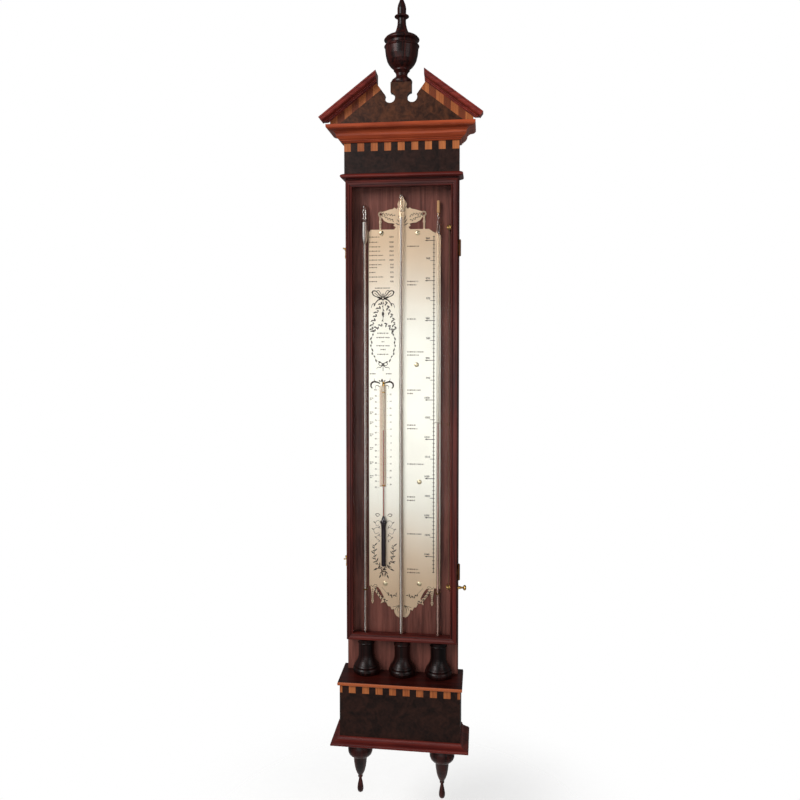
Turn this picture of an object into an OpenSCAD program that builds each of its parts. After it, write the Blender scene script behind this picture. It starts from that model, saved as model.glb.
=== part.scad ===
// Glazed wall barometer: two mercury tubes, a thermometer and a cord-driven pointer in a case with
// pediment, gallery and box.
// Millimetres. The wall is the plane y = 0, the front faces -Y, and the hanging hole is on the origin.

/* [Case] */
// Width of the back board and of the glazed case
case_w = 177; // [168:0.5:184]
// Thickness of the back board
back_t = 18; // [15:0.5:22]
// Depth of the case in front of the back board
case_in = 11.6; // [11.2:0.1:13]
// Thickness of the case sides, top and bottom
case_t = 8; // [6.5:0.5:9]
// Height of the glazed case
case_h = 727.8; // [708:0.2:760]
// Height from the underside of the frieze up to the hanging hole
hole_rise = 25; // [18:0.5:30]
// Radius of the hanging hole
hang_r = 4.5; // [4:0.1:5]
// Thickness of the brass hanging plate
hang_t = 3; // [2:0.5:4]

/* [Door] */
// How much narrower than the case the door is
door_narrow = 3.4; // [2.8:0.1:6]
// How much shorter than the case the door is
door_short = 5.2; // [2:0.1:20]
// Thickness of the door frame
door_t = 10.2; // [9.6:0.1:12]
// Gap between the case and the back of the door
door_gap = 0.4; // [0.3:0.05:0.6]
// Width of the mitred frame members
frame_w = 10; // [9:0.2:12]
// Thickness of the glass pane
glass_t = 2; // [1.6:0.1:2.4]

/* [Frieze and cornice] */
// Width of the frieze
frieze_w = 178; // [170:0.5:186]
// Distance from the wall to the front of the frieze
frieze_d = 37; // [34:0.5:40]
// Height of the frieze
frieze_h = 46.6; // [42:0.2:50]
// Number of equal units in the frieze band, every second one light
frieze_units = 17; // [13:2:21]
// Height of the inlaid band of the frieze
frieze_band_h = 12.8; // [10:0.2:16]
// Depth of all inlaid woods
inlay_t = 2; // [1.2:0.1:3]
// Height of the half-round moulding under the frieze
torus_h = 7.5; // [6:0.1:9]
// Projection of that moulding beyond the frieze
torus_over = 6; // [4:0.1:8]
// Height of the level cornice
cornice_h = 24.4; // [20:0.2:30]
// Projection of the level cornice beyond the frieze
cornice_over = 24.5; // [20:0.5:28]

/* [Pediment] */
// Angle of the raking cornices
rake_angle = 37.3; // [34:0.1:40]
// Depth of the raking moulding square to its slope
rake_h = 11.5; // [10:0.1:14]
// Projection of the raking moulding beyond the tympanum
rake_over = 19; // [15:0.5:22]
// Half of the open gap between the tops of the raking cornices
rake_open = 36.6; // [32:0.2:40]
// Height of the tops of the raking cornices above the level cornice
rake_rise = 78.7; // [72:0.1:84]
// Distance from the wall to the front of the tympanum
tymp_d = 42; // [39:0.5:44]
// Thickness of the tympanum
tymp_t = 12; // [9:0.5:16]
// Half width of the tympanum at its foot
tymp_half = 110; // [104:0.5:112]
// Half width of the pedestal for the finial
ped_half = 16; // [14:0.5:18]
// Height of the pedestal above the level cornice
ped_rise = 65; // [60:0.5:70]
// Radius of the two round notches beside the pedestal
notch_r = 8; // [7:0.1:9]
// Upright height of the inlaid band under the raking cornices
rake_band_h = 14.8; // [12:0.2:18]
// Width of a light unit of that band
rake_unit = 11.1; // [10:0.1:11.3]
// Greatest radius of the finial
finial_r = 27.3; // [24:0.1:27.4]
// Height of the finial
finial_h = 132; // [120:1:145]

/* [Gallery] */
// Height of the open gallery between the case and the shelf
gallery_h = 54.7; // [50:0.1:60]
// Greatest radius of the balusters
bell_r = 21.6; // [19:0.1:23]
// Radius of the baluster necks
bell_neck_r = 12.3; // [11:0.1:13]
// Width of the shelf
shelf_w = 193.5; // [188:0.5:200]
// Distance from the wall to the front of the shelf
shelf_d = 70.4; // [66:0.2:76]
// Thickness of the shelf
shelf_t = 5.6; // [4.5:0.1:8]

/* [Box] */
// Width of the box under the shelf
box_w = 187.5; // [184:0.5:190]
// Distance from the wall to the front of the box
box_d = 65.7; // [60:0.1:68]
// Height of the box
box_h = 81.3; // [76:0.1:90]
// Thickness of the box front
box_front_t = 8; // [6:0.5:10]
// Thickness of the box sides
box_side_t = 5.25; // [4:0.25:7]
// Thickness of the box floor
box_floor_t = 7; // [5:0.5:8]
// Pitch of the light teeth inlaid along the top of the box
tooth_pitch = 21.1; // [20:0.1:22]
// Width of a light tooth
tooth_w = 10.7; // [9:0.1:12]
// Height of a light tooth
tooth_h = 12.5; // [10:0.1:15]
// Height of the plinth moulding
plinth_h = 10.7; // [9:0.1:14]
// Projection of the plinth moulding beyond the box
plinth_over = 13; // [10:0.5:15]
// Distance of the turned pendants from the middle
pendant_x = 65; // [58:0.5:72]
// Length of the turned pendants
pendant_h = 92; // [84:0.5:100]
// Greatest radius of the pendants
pendant_r = 19.5; // [17:0.1:21]

/* [Scale plate] */
// Left edge of the scale plate
plate_x0 = -53.5; // [-54:0.1:-52]
// Right edge of the scale plate
plate_x1 = 60; // [59.6:0.1:62]
// Height of the top edge of the scale plate below the hanging hole
plate_top = 110; // [106:0.5:114]
// Height of the straight part of the scale plate
plate_h = 568; // [560:0.5:572]
// Thickness of the scale plate
plate_t = 1.2; // [0.8:0.1:1.6]
// Radius of the heads of the scale plate screws
screw_head_r = 3.6; // [3:0.1:4]

/* [Tubes] */
// Distance of the tube axes from the back board
tube_out = 6; // [5.9:0.1:6.3]
// Place of the left leg of the double tube
left_x = -59.2; // [-60:0.1:-58.4]
// Place of the mercury column in the middle
mid_x = -1.5; // [-2.5:0.1:-0.5]
// Place of the right leg of the double tube
right_x = 56.6; // [55.5:0.1:57]
// Outer radius of the double tube
siphon_r = 2.5; // [2.2:0.05:2.7]
// Bore radius of the double tube
siphon_bore_r = 1.3; // [1:0.05:1.5]
// Outer radius of its upper bulb
bulb_r = 4.75; // [4.2:0.05:5.2]
// Outer radius of its lower reservoir
reservoir_r = 8; // [7:0.1:9]
// Outer radius of the middle tube
mid_r = 3.3; // [3:0.05:3.6]
// Bore radius of the middle tube
mid_bore_r = 2.1; // [1.6:0.05:2.3]
// Height of the mercury column in the middle tube
column_h = 760; // [735:1:785]
// Outer radius of the boxwood cistern
cistern_r = 15; // [13:0.5:16]
// Height of the coloured liquid below the hanging hole
liquid_drop = 414; // [300:1:600]

/* [Thermometer] */
// Place of the thermometer tube
therm_x = -29.8; // [-31:0.1:-29]
// Radius of the thermometer tube
therm_r = 1.35; // [1.1:0.05:1.6]
// Height of the red spirit below the hanging hole
spirit_drop = 426; // [380:1:500]
// Radius of the turned bulb guard
guard_r = 3.7; // [3.4:0.1:4]

/* [Pointer drive] */
// Distance of the cord and of both pulleys from the case side
cord_in = 7; // [6.6:0.1:9]
// Depth of the drive spindle below the hanging hole
drive_drop = 673.2; // [665:0.2:680]
// Depth of the idler pulley below the hanging hole
idler_drop = 108.5; // [104:0.5:112]
// Radius of the pulley flanges
flange_r = 4.65; // [4.4:0.05:4.9]
// Depth of the pointer below the hanging hole
pointer_drop = 414.5; // [300:0.5:600]
// Radius of the knob
knob_r = 4.2; // [3.6:0.1:4.4]

/* [Hinges and hooks] */
// Depth of the middle of the upper hinge below the hanging hole
hinge_upper = 141; // [120:1:160]
// Depth of the middle of the lower hinge below the hanging hole
hinge_lower = 646.5; // [630:0.5:660]
// Height of the hinges
hinge_h = 24; // [18:0.5:28]
// Radius of the hinge knuckles
knuckle_r = 2.2; // [2:0.05:2.4]
// Depth of the upper hook pivot below the hanging hole
hook_upper_drop = 140; // [120:1:160]
// Depth of the lower hook pivot below the hanging hole
hook_lower_drop = 631; // [615:1:640]
// Length of the hooks between pivot and door pin
hook_len = 12.5; // [12:0.1:13]

/* [Fits] */
// Radial clearance of parts that turn or slide in one another
run_gap = 0.05; // [0.02:0.01:0.09]
// Radial clearance round fixed screws, pins and tubes
fix_gap = 0.05; // [0.02:0.01:0.1]
// Gap between a liquid and its glass
fill_gap = 0.04; // [0.02:0.01:0.08]
// Least gap between pieces that move past one another
move_gap = 0.3; // [0.3:0.05:0.5]

/* [Hidden] */
e = 0.01;
z_frieze0 = -hole_rise;
z_frieze1 = z_frieze0 + frieze_h;
z_top = z_frieze1 + cornice_h;
hang_half = 15;
hang_z0 = -26;
hang_z1 = min(20, z_frieze1 - 1);
z_case1 = z_frieze0 - torus_h;
z_case0 = z_case1 - case_h;
z_shelf1 = z_case0 - gallery_h;
z_box1 = z_shelf1 - shelf_t;
z_box0 = z_box1 - box_h;
z_plinth0 = z_box0 - plinth_h;
y_board = -back_t;
y_plate = y_board - plate_t;
y_case = y_board - case_in;
y_door = y_case - door_gap;
y_front = y_door - door_t;
y_tube = y_board - tube_out;
half_case = case_w / 2;
box_in = box_w / 2 - box_side_t;
side_in = half_case - case_t;
cord_x = side_in - cord_in;
door_w = case_w - door_narrow;
door_h = case_h - door_short;
z_door1 = z_case1 - (case_h - door_h) * 0.75;
z_door0 = z_door1 - door_h;
z_door_mid = (z_door1 + z_door0) / 2;
rebate_u = frame_w - 3.4;
y_glass_front = y_door - 6;
y_glass_back = y_glass_front + glass_t;
rake_k = tan(rake_angle);
rake_top_z = z_top + rake_rise;
rake_drop = rake_h / cos(rake_angle);
bells_x = [left_x + 2.4, mid_x + 2.1, right_x + 1.6];
bell_y = y_board - 10;
finial_y = -28;
plate_bot = plate_top + plate_h;
z_bend = round(10 * (z_box0 + 12.9)) / 10;
bend_r = 10;
z_res1 = z_bend + 43;
z_res0 = z_bend + 9;
z_liquid0 = z_res0 + 5;
z_bulb0 = -131;
z_bulb1 = -71.2;
z_contra_top = -99;
z_cork = -86;
mouth_r = 1.9;
mouth_bore_r = 1.3;
z_cistern0 = z_box1 - 47.4;
z_cistern1 = z_cistern0 + 38;
z_pool = z_cistern0 + 16;
cistern_in_r = cistern_r - 2;
spindle_r = 1.4;
stud_r = 1.2;
groove_r = 3.3;
cord_r = 0.3;
cord_line_r = groove_r + move_gap + cord_r;
pulley_w = 5;
knob_x = half_case + 10.5;
leaf_x = half_case - 6.5;
hinge_x = half_case + 1.1;
hinge_y = (y_case + y_door) / 2;
hinge_t = 1.2;
hinge_pin_r = 0.9;
hook_y = y_board - 5;
hook_x0 = -half_case - 2 * move_gap;
hook_t = 1.2;
hook_pin_r = 1;
door_pin_r = 0.9;
guard_y = y_plate - guard_r - 0.5;
screws = [[-32.9, plate_top + 5.6], [24.1, plate_top + 6], [22.4, 322], [27, 508], [-27.3, plate_bot - 4.5],
  [27.1, plate_bot - 6.2]];

mahogany = [0.42, 0.17, 0.11];
dark_wood = [0.22, 0.11, 0.08];
ebony = [0.05, 0.04, 0.04];
satinwood = [0.72, 0.47, 0.27];
boxwood = [0.66, 0.48, 0.28];
brass = [0.78, 0.6, 0.3];
silver = [0.75, 0.76, 0.78];
clear = [0.8, 0.88, 0.9, 0.35];

// A block between two corners.
module block(a, b) {
  translate([min(a[0], b[0]), min(a[1], b[1]), min(a[2], b[2])])
    cube([abs(a[0] - b[0]), abs(a[1] - b[1]), abs(a[2] - b[2])]);
}

// A cylinder along X, Y or Z from a point.
module rod_x(p, r, h, n = 48) {
  translate(p) rotate([0, 90, 0]) cylinder(r = r, h = h, $fn = n);
}

module rod_y(p, r, h, n = 48) {
  translate(p) rotate([90, 0, 0]) cylinder(r = r, h = h, $fn = n);
}

module rod_z(p, r, h, n = 48) {
  translate(p) cylinder(r = r, h = h, $fn = n);
}

// A flat shape drawn in X and Z, standing from y = -d back by t.
module upright(d, t) {
  translate([0, t - d, 0]) rotate([90, 0, 0]) linear_extrude(t) children();
}

// A moulding mitred round the front and both sides. Each profile point is [projection, z], from the
// top down.
module moulded_slab(half, depth, prof) {
  n = len(prof);
  intersection() {
    rotate([90, 0, 0])
      linear_extrude(depth + 60)
        polygon(concat([for (p = prof) [half + p[0], p[1]]],
          [for (i = [n - 1:-1:0]) [-half - prof[i][0], prof[i][1]]]));
    rotate([90, 0, 90])
      linear_extrude(2 * half + 120, center = true)
        polygon(concat([for (p = prof) [-depth - p[0], p[1]]], [[0, prof[n - 1][1]], [0, prof[0][1]]]));
  }
}

// Points of an arc, for moulding profiles.
function arc(c, r, a0, a1, n) = [for (i = [0:n]) let (a = a0 + (a1 - a0) * i / n) [c[0] + r * cos(a),
  c[1] + r * sin(a)]];

module back_board() {
  color(mahogany)
    difference() {
      union() {
        block([-half_case, 0, z_box1 - e], [half_case, y_board, z_frieze1]);
        block([-box_in, 0, z_box0], [box_in, y_board, z_box1]);
      }
      block([-hang_half, e, hang_z0], [hang_half, -hang_t, hang_z1]);
      rod_y([0, 0, 0], hang_r + 2.5, 13);
      for (z = [-19, 15])
        rod_y([0, 0, z], 1.4 + fix_gap, 12);
      for (s = screws)
        rod_y([s[0], y_board + 10, -s[1]], 1.5 + fix_gap, 11);
      block([mid_x - cistern_r - 1.5, y_board + 10.5, z_cistern0 - 0.5],
        [mid_x + cistern_r + 1.5, y_board - 1, z_box1]);
      block([right_x - reservoir_r - 1.5, y_board + 4, z_res0 - 3],
        [right_x + reservoir_r + 1.5, y_board - 1, z_res1 + 3]);
    }
}

module hanger_plate() {
  color(brass)
    difference() {
      block([-hang_half, 0, hang_z0], [hang_half, -hang_t, hang_z1]);
      rod_y([0, 1, 0], hang_r, hang_t + 2, 64);
      for (z = [-19, 15]) {
        rod_y([0, 1, z], 1.4 + fix_gap, hang_t + 2);
        rod_y([0, 1, z], 2.9 + fix_gap, 2.3);
      }
    }
}

// One side board of the case, on the side given by s.
module case_side(s) {
  block([s * half_case, y_board, z_case0], [s * side_in, y_case, z_case1]);
}

module case_side_left() {
  color(mahogany)
    difference() {
      case_side(-1);
      for (z = [hook_upper_drop, hook_lower_drop])
        rod_x([-half_case - 1, hook_y, -z], hook_pin_r + fix_gap, 6.6);
    }
}

module case_side_right() {
  color(mahogany)
    difference() {
      case_side(1);
      rod_x([side_in - 1, y_tube, -drive_drop], 3 + fix_gap, case_t + 2);
      rod_x([side_in - 1, y_tube, -idler_drop], 1.5 + fix_gap, 6.3);
      for (z = [hinge_upper, hinge_lower]) {
        block([leaf_x, y_case - 1, -z - hinge_h / 2], [half_case + 1, y_case + hinge_t, -z + hinge_h / 2]);
        rod_z([hinge_x, hinge_y, -z - hinge_h / 2 - 1.2], knuckle_r + move_gap, hinge_h + 2.4);
      }
    }
}

module case_top_board() {
  color(mahogany)
    block([-side_in, y_board, z_case1 - case_t], [side_in, y_case, z_case1]);
}

module case_bottom_board() {
  color(mahogany)
    difference() {
      block([-side_in, y_board, z_case0], [side_in, y_case, z_case0 + case_t]);
      tube_ways(z_case0 - 1, case_t + 2);
    }
}

// The upright ways for the three glass tubes.
module tube_ways(z, h) {
  rod_z([left_x, y_tube, z], siphon_r + 0.9, h);
  rod_z([mid_x, y_tube, z], mid_r + 0.9, h);
  rod_z([right_x, y_tube, z], siphon_r + 0.9, h);
}

module frieze_board() {
  color(dark_wood)
    difference() {
      block([-frieze_w / 2, y_board, z_frieze0], [frieze_w / 2, -frieze_d, z_frieze1]);
      frieze_blocks();
    }
}

// The light units of the frieze band.
module frieze_blocks() {
  unit = frieze_w / frieze_units;
  for (i = [0:2:frieze_units - 1])
    block([-frieze_w / 2 + i * unit, inlay_t - frieze_d, z_frieze1 - frieze_band_h],
      [-frieze_w / 2 + (i + 1) * unit, -frieze_d, z_frieze1]);
}

module frieze_inlay() {
  color(satinwood)
    frieze_blocks();
}

module torus_moulding() {
  color(mahogany)
    difference() {
      moulded_slab(frieze_w / 2, frieze_d, concat(
        [[0, z_frieze0], [torus_over * 0.45, z_frieze0 - torus_h * 0.12]],
        arc([torus_over - torus_h * 0.34, z_frieze0 - torus_h * 0.56], torus_h * 0.34, 70, -80, 8),
        [[torus_over * 0.35, z_frieze0 - torus_h * 0.93], [torus_over * 0.3, z_case1], [0, z_case1]]));
      block([-half_case, 1, z_case1 - 1], [half_case, y_board, z_frieze0 + 1]);
    }
}

module cornice() {
  prof = [[1, 0], [1, 0.143], [0.985, 0.18], [0.955, 0.22], [0.91, 0.26], [0.86, 0.285], [0.816, 0.3],
    [0.776, 0.307],
    [0.7, 0.315], [0.62, 0.34], [0.55, 0.385], [0.505, 0.43], [0.49, 0.45], [0.469, 0.455], [0.462, 0.53],
    [0.44, 0.61], [0.39, 0.7], [0.32, 0.78], [0.245, 0.83], [0.224, 0.84], [0.224, 0.88], [0.143, 0.885],
    [0.143, 0.94], [0.122, 0.951], [0.11, 0.975], [0.065, 1]];
  color(mahogany)
    moulded_slab(frieze_w / 2, frieze_d, [for (p = prof) [p[0] * cornice_over, z_top - p[1] * cornice_h]]);
}

// Height of the foot line of the raking moulding at a distance from the middle.
function rake_foot(x) = rake_top_z - rake_drop - rake_k * (x - rake_open);

// The upright outline of the tympanum with its pedestal and round notches.
module tympanum_shape() {
  x1 = rake_open + 0.7;
  difference() {
    polygon([[-tymp_half, z_top], [tymp_half, z_top], [tymp_half, rake_foot(tymp_half)],
      [x1, rake_foot(x1)],
      [ped_half + 7.5, z_top + ped_rise - 20.2], [ped_half, z_top + ped_rise - 23],
      [ped_half, z_top + ped_rise],
      [-ped_half, z_top + ped_rise], [-ped_half, z_top + ped_rise - 23],
      [-ped_half - 7.5, z_top + ped_rise - 20.2],
      [-x1, rake_foot(x1)], [-tymp_half, rake_foot(tymp_half)]]);
    for (s = [-1, 1])
      translate([s * (ped_half + 1), z_top + ped_rise - 23.1])
        circle(r = notch_r, $fn = 64);
  }
}

// A sloping strip under both raking cornices between two distances from the middle.
module rake_strip(x0, x1) {
  for (s = [-1, 1])
    polygon([[s * x0, rake_foot(x0) + 6], [s * x1, rake_foot(x1) + 6],
      [s * x1, rake_foot(x1) - rake_band_h],
      [s * x0, rake_foot(x0) - rake_band_h]]);
}

// The thin board of the pediment, with a narrow post behind its pedestal and a seat for the finial.
module tympanum() {
  back = finial_y + ped_half;
  color(dark_wood)
    difference() {
      union() {
        upright(tymp_d, tymp_t)
          tympanum_shape();
        block([notch_r - ped_half, -tymp_d + 1, z_top], [ped_half - notch_r, back - 3, z_top + ped_rise]);
        block([-ped_half, -tymp_d + 1, z_top + ped_rise - 14], [ped_half, finial_y, z_top + ped_rise]);
        rod_z([0, finial_y, z_top + ped_rise - 14], ped_half - 3, 14, 64);
      }
      upright(tymp_d + e, inlay_t + e)
        rake_strip(ped_half + 4, tymp_half + 1);
    }
}

module pediment_inlay_light() {
  color(satinwood)
    upright(tymp_d, inlay_t)
      intersection() {
        tympanum_shape();
        union()
          for (k = [0:3])
            rake_strip(31.7 + k * 2 * rake_unit, 31.7 + (2 * k + 1) * rake_unit);
      }
}

module pediment_inlay_red() {
  color([0.45, 0.2, 0.12])
    upright(tymp_d, inlay_t)
      intersection() {
        tympanum_shape();
        union()
          for (k = [-1:3])
            rake_strip(31.7 + (2 * k + 1) * rake_unit, 31.7 + (2 * k + 2) * rake_unit);
      }
}

// The right raking moulding: its section runs down the slope, its upper end is plumb, and past the
// tympanum only its front members go on.
module raking() {
  a = rake_angle;
  o = rake_over;
  h = rake_h;
  lip = h * 0.65;
  run = 88.3;
  low = z_top + 6.5;
  section = concat(
    [[tymp_t - tymp_d, 0], [-tymp_d - o, 0], [-tymp_d - o, -h * 0.2], [-tymp_d - o + 0.8, -h * 0.24]],
    [[-tymp_d - o + 1, -h * 0.4], [-tymp_d - o + 1.9, -h * 0.56], [-tymp_d - o + 3.2, -lip],
    [-tymp_d - o * 0.5, -h * 0.7]],
    arc([-tymp_d - o * 0.44, -h * 0.75], h * 0.05, 180, 300, 4),
    arc([-tymp_d - o * 0.4, -h * 0.94], h * 0.2, 75, 5, 5),
    [[-tymp_d - 1.9, -h * 0.92], [-tymp_d - 1.9, -h], [tymp_t - tymp_d, -h]]);
  difference() {
    intersection() {
      translate([rake_open, 0, rake_top_z])
        rotate([0, a, 0])
          translate([-30, 0, 0])
            rotate([90, 0, 90])
              linear_extrude(180)
                polygon(section);
      upright(tymp_d + o + 1, tymp_t + o + 2)
        polygon([[rake_open, rake_top_z], [rake_open + run, rake_top_z - run * rake_k],
          [rake_open + run - lip * sin(a), rake_top_z - run * rake_k - lip * cos(a)],
          [rake_open + run - lip * sin(a) - 1, low], [rake_open + 60, low],
          [rake_open, rake_foot(rake_open) - 5]]);
    }
    block([tymp_half, -tymp_d, z_top], [rake_open + run + 1, 1, rake_top_z]);
  }
}

module raking_cornices() {
  color(mahogany) {
    raking();
    mirror([1, 0, 0])
      raking();
  }
}

module finial() {
  r = finial_r;
  h = finial_h;
  color(ebony)
    translate([0, finial_y, z_top + ped_rise])
      rotate_extrude($fn = 96)
        polygon(concat(
          [[0, 0], [r * 0.57, 0], [r * 0.595, h * 0.014], [r * 0.595, h * 0.032], [r * 0.54, h * 0.05]],
          [[r * 0.44, h * 0.066], [r * 0.36, h * 0.078], [r * 0.32, h * 0.095], [r * 0.33, h * 0.12]],
          [[r * 0.4, h * 0.14], [r * 0.46, h * 0.154], [r * 0.46, h * 0.166], [r * 0.49, h * 0.175]],
          [[r * 0.62, h * 0.198], [r * 0.745, h * 0.232], [r * 0.83, h * 0.267], [r * 0.9, h * 0.325]],
          [[r * 0.93, h * 0.375], [r * 0.945, h * 0.412]],
          arc([r * 0.945, h * 0.43], r * 0.05, -60, 70, 4),
          [[r * 0.87, h * 0.452], [r * 0.86, h * 0.478]],
          arc([r * 0.94, h * 0.506], r * 0.06, -70, 70, 5),
          [[r * 0.9, h * 0.535], [r * 0.82, h * 0.546], [r * 0.7, h * 0.554], [r * 0.57, h * 0.563]],
          [[r * 0.43, h * 0.583], [r * 0.355, h * 0.606], [r * 0.3, h * 0.637], [r * 0.25, h * 0.68]],
          [[r * 0.235, h * 0.722], [r * 0.24, h * 0.75]],
          arc([r * 0.36, h * 0.776], r * 0.05, -70, 80, 4),
          [[r * 0.245, h * 0.8], [r * 0.25, h * 0.87], [r * 0.207, h * 0.914], [r * 0.143, h * 0.945]],
          [[r * 0.09, h * 0.975], [r * 0.05, h], [0, h]]));
}

// Right half of the ornament under the plate, from its outer end to the tip, from the plate's lower edge.
swag_half = [[51, 0], [50, -7], [49, -16], [49, -20.5], [49.8, -25], [47.8, -29], [45.8, -25],
  [46.5, -20.5], [46, -11],
  [44.5, -6.5], [40, -14], [35.5, -20], [32.5, -22.8], [34.6, -28], [29.5, -25.4], [25.5, -26], [22.6, -32],
  [19, -32.5], [16.8, -37.4], [12.8, -36], [12.4, -41.5], [9.2, -47], [5.2, -49.4], [2.4, -48.2], [0, -50]];
swag_hole = [[42.8, -1.4], [39, -1.4], [35, -6.4], [31.4, -13], [28.8, -19], [32, -18.2],
  [36.2, -13.6], [40.2, -7]];

// Right half of the crest over the plate, from its foot to the top, from the plate's upper edge.
crest_half = [[35.8, 0], [35.8, 9.6], [36.5, 12], [35.8, 14.4], [35.8, 20.3], [37.6, 22.3],
  [38, 24.2], [37.4, 26.2],
  [35.8, 27.6], [33.8, 28], [31.6, 27.4], [26, 29], [20, 31], [14.8, 31.8], [12, 34], [9, 31.8],
  [6.2, 34.6],
  [7.4, 39.5], [5, 44.5], [2.8, 46.6], [2, 50.5], [0, 52.5]];
crest_gap = [[12.4, 0], [33.2, 0], [33.2, 9.6], [32.4, 12], [33.2, 14.4], [33, 19.4], [31.6, 18.6],
  [28.4, 13.8],
  [22, 10.4], [15.4, 9.8], [11.4, 8.8], [13.6, 6], [10, 3.6]];

// Points of a half ornament set beside the middle of the plate, on the side given by s.
function beside(pts, s, z) = [for (p = pts) [mid_x + 1 + s * p[0], z + p[1]]];
function backwards(pts) = [for (i = [len(pts) - 1:-1:0]) pts[i]];

module plate_shape() {
  zt = -plate_top;
  zb = -plate_bot;
  difference() {
    polygon(concat(
      beside(crest_half, 1, zt), backwards(beside(crest_half, -1, zt)),
      [[plate_x0 + 3.2, zt]], arc([plate_x0, zt], 3, 0, -90, 6), [[plate_x0, zb]],
      beside(swag_half, -1, zb), backwards(beside(swag_half, 1, zb)),
      [[plate_x1, zb], [plate_x1, zt - 10.5], [plate_x1 - 7, zt - 6.6], [plate_x1 - 11, zt - 5.2],
        [plate_x1 - 14, zt - 3.2], [plate_x1 - 18, zt]]));
    for (s = [-1, 1]) {
      polygon(beside(swag_hole, s, zb));
      polygon(beside(crest_gap, s, zt));
      translate([mid_x + 1 + s * 34, zt + 24])
        circle(r = 2.2, $fn = 32);
    }
  }
}

module scale_plate() {
  color([0.85, 0.77, 0.58])
    difference() {
      upright(back_t + plate_t, plate_t)
        plate_shape();
      for (s = screws)
        rod_y([s[0], y_board + 1, -s[1]], 1.5 + fix_gap, plate_t + 2);
    }
}

module brass_screws() {
  color(brass) {
    for (z = [-19, 15]) {
      rod_y([0, 0, z], 2.9, 1.3);
      rod_y([0, -1, z], 1.4, 10.5);
    }
    for (s = screws)
      translate([s[0], y_plate, -s[1]])
        rotate([90, 0, 0]) {
          rotate_extrude($fn = 40)
            polygon([[0, 0], [screw_head_r, 0], [screw_head_r, 0.5], [screw_head_r * 0.8, 1.1],
              [screw_head_r * 0.45, 1.5],
              [0, 1.6]]);
          translate([0, 0, -plate_t - 9.5])
            cylinder(r = 1.5, h = plate_t + 9.6, $fn = 32);
        }
  }
}

module thermometer_plate() {
  color([0.93, 0.88, 0.76])
    difference() {
      block([therm_x - 6.5, y_plate, -517], [therm_x + 3.8, y_plate - 1.5, -356]);
      for (z = [-366, -514])
        for (x = [-2, 2])
          rod_y([therm_x + x, y_plate + 1, z], 0.35 + fix_gap, 4, 16);
    }
}

// A capillary tube whose long bulb sits in the bore of the turned guard.
module thermometer_tube() {
  color(clear)
    difference() {
      union() {
        rod_z([therm_x, guard_y, -575], therm_r, 222, 32);
        translate([therm_x, guard_y, -575])
          rotate_extrude($fn = 32)
            polygon([[0, 1], [therm_r, 1], [2.3, -2], [2.3, -44], [1.6, -46.5], [0, -47.5]]);
      }
      translate([therm_x, guard_y, -575])
        rotate_extrude($fn = 32)
          polygon([[0, 219], [0.6, 219], [0.6, 0], [1.6, -3], [1.6, -43.5], [1, -45.4], [0, -46]]);
    }
}

module thermometer_spirit() {
  top = 575 - spirit_drop;
  g = fill_gap;
  color([0.75, 0.12, 0.12])
    translate([therm_x, guard_y, -575])
      rotate_extrude($fn = 32)
        polygon([[0, top], [0.6 - g, top], [0.6 - g, 0], [1.6 - g, -3], [1.6 - g, -43.4],
          [1 - g, -45.2], [0, -45.8]]);
}

module thermometer_guard() {
  color([0.16, 0.07, 0.13])
    difference() {
      translate([therm_x, guard_y, -644.5])
        rotate_extrude($fn = 64)
          polygon(concat([[0, 0]], arc([guard_r - 2.4, 2.4], 2.4, -90, 0, 5),
            [[guard_r, 62], [guard_r + 0.3, 65]],
            arc([guard_r - 1.6, 71.5], 3.6, -50, 62, 8), [[2.4, 78.5], [1.9, 80.5], [0, 80.5]]));
      rod_z([therm_x, guard_y, -625], 2.4, 52, 32);
      rod_z([therm_x, guard_y, -580], therm_r + fix_gap, 20, 32);
      block([therm_x - 9, y_plate, -650], [therm_x + 9, y_plate + 4, -560]);
    }
}

// Two wire clips that hold the thermometer tube to its plate, and the cap on its top.
module thermometer_clips() {
  color(brass) {
    for (z = [-366, -514])
      translate([therm_x, 0, z - 0.6]) {
        linear_extrude(1.2)
          difference() {
            union() {
              translate([0, guard_y])
                circle(r = therm_r + 0.7, $fn = 32);
              translate([-2.35, guard_y])
                square([4.7, y_plate - 1.5 - guard_y]);
            }
            translate([0, guard_y])
              circle(r = therm_r + fix_gap, $fn = 32);
            translate([-1.65, guard_y])
              square([3.3, 10]);
          }
        for (x = [-2, 2])
          rod_y([x, y_plate - 0.1, 0.6], 0.35, 1.6, 16);
      }
    difference() {
      translate([therm_x, guard_y, -356])
        rotate_extrude($fn = 32)
          polygon([[0, 0], [2, 0], [2, 3], [1.5, 4], [1.9, 5.2], [1.2, 6.6], [0, 7]]);
      rod_z([therm_x, guard_y, -357], therm_r + fix_gap, 4, 32);
    }
  }
}

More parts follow.
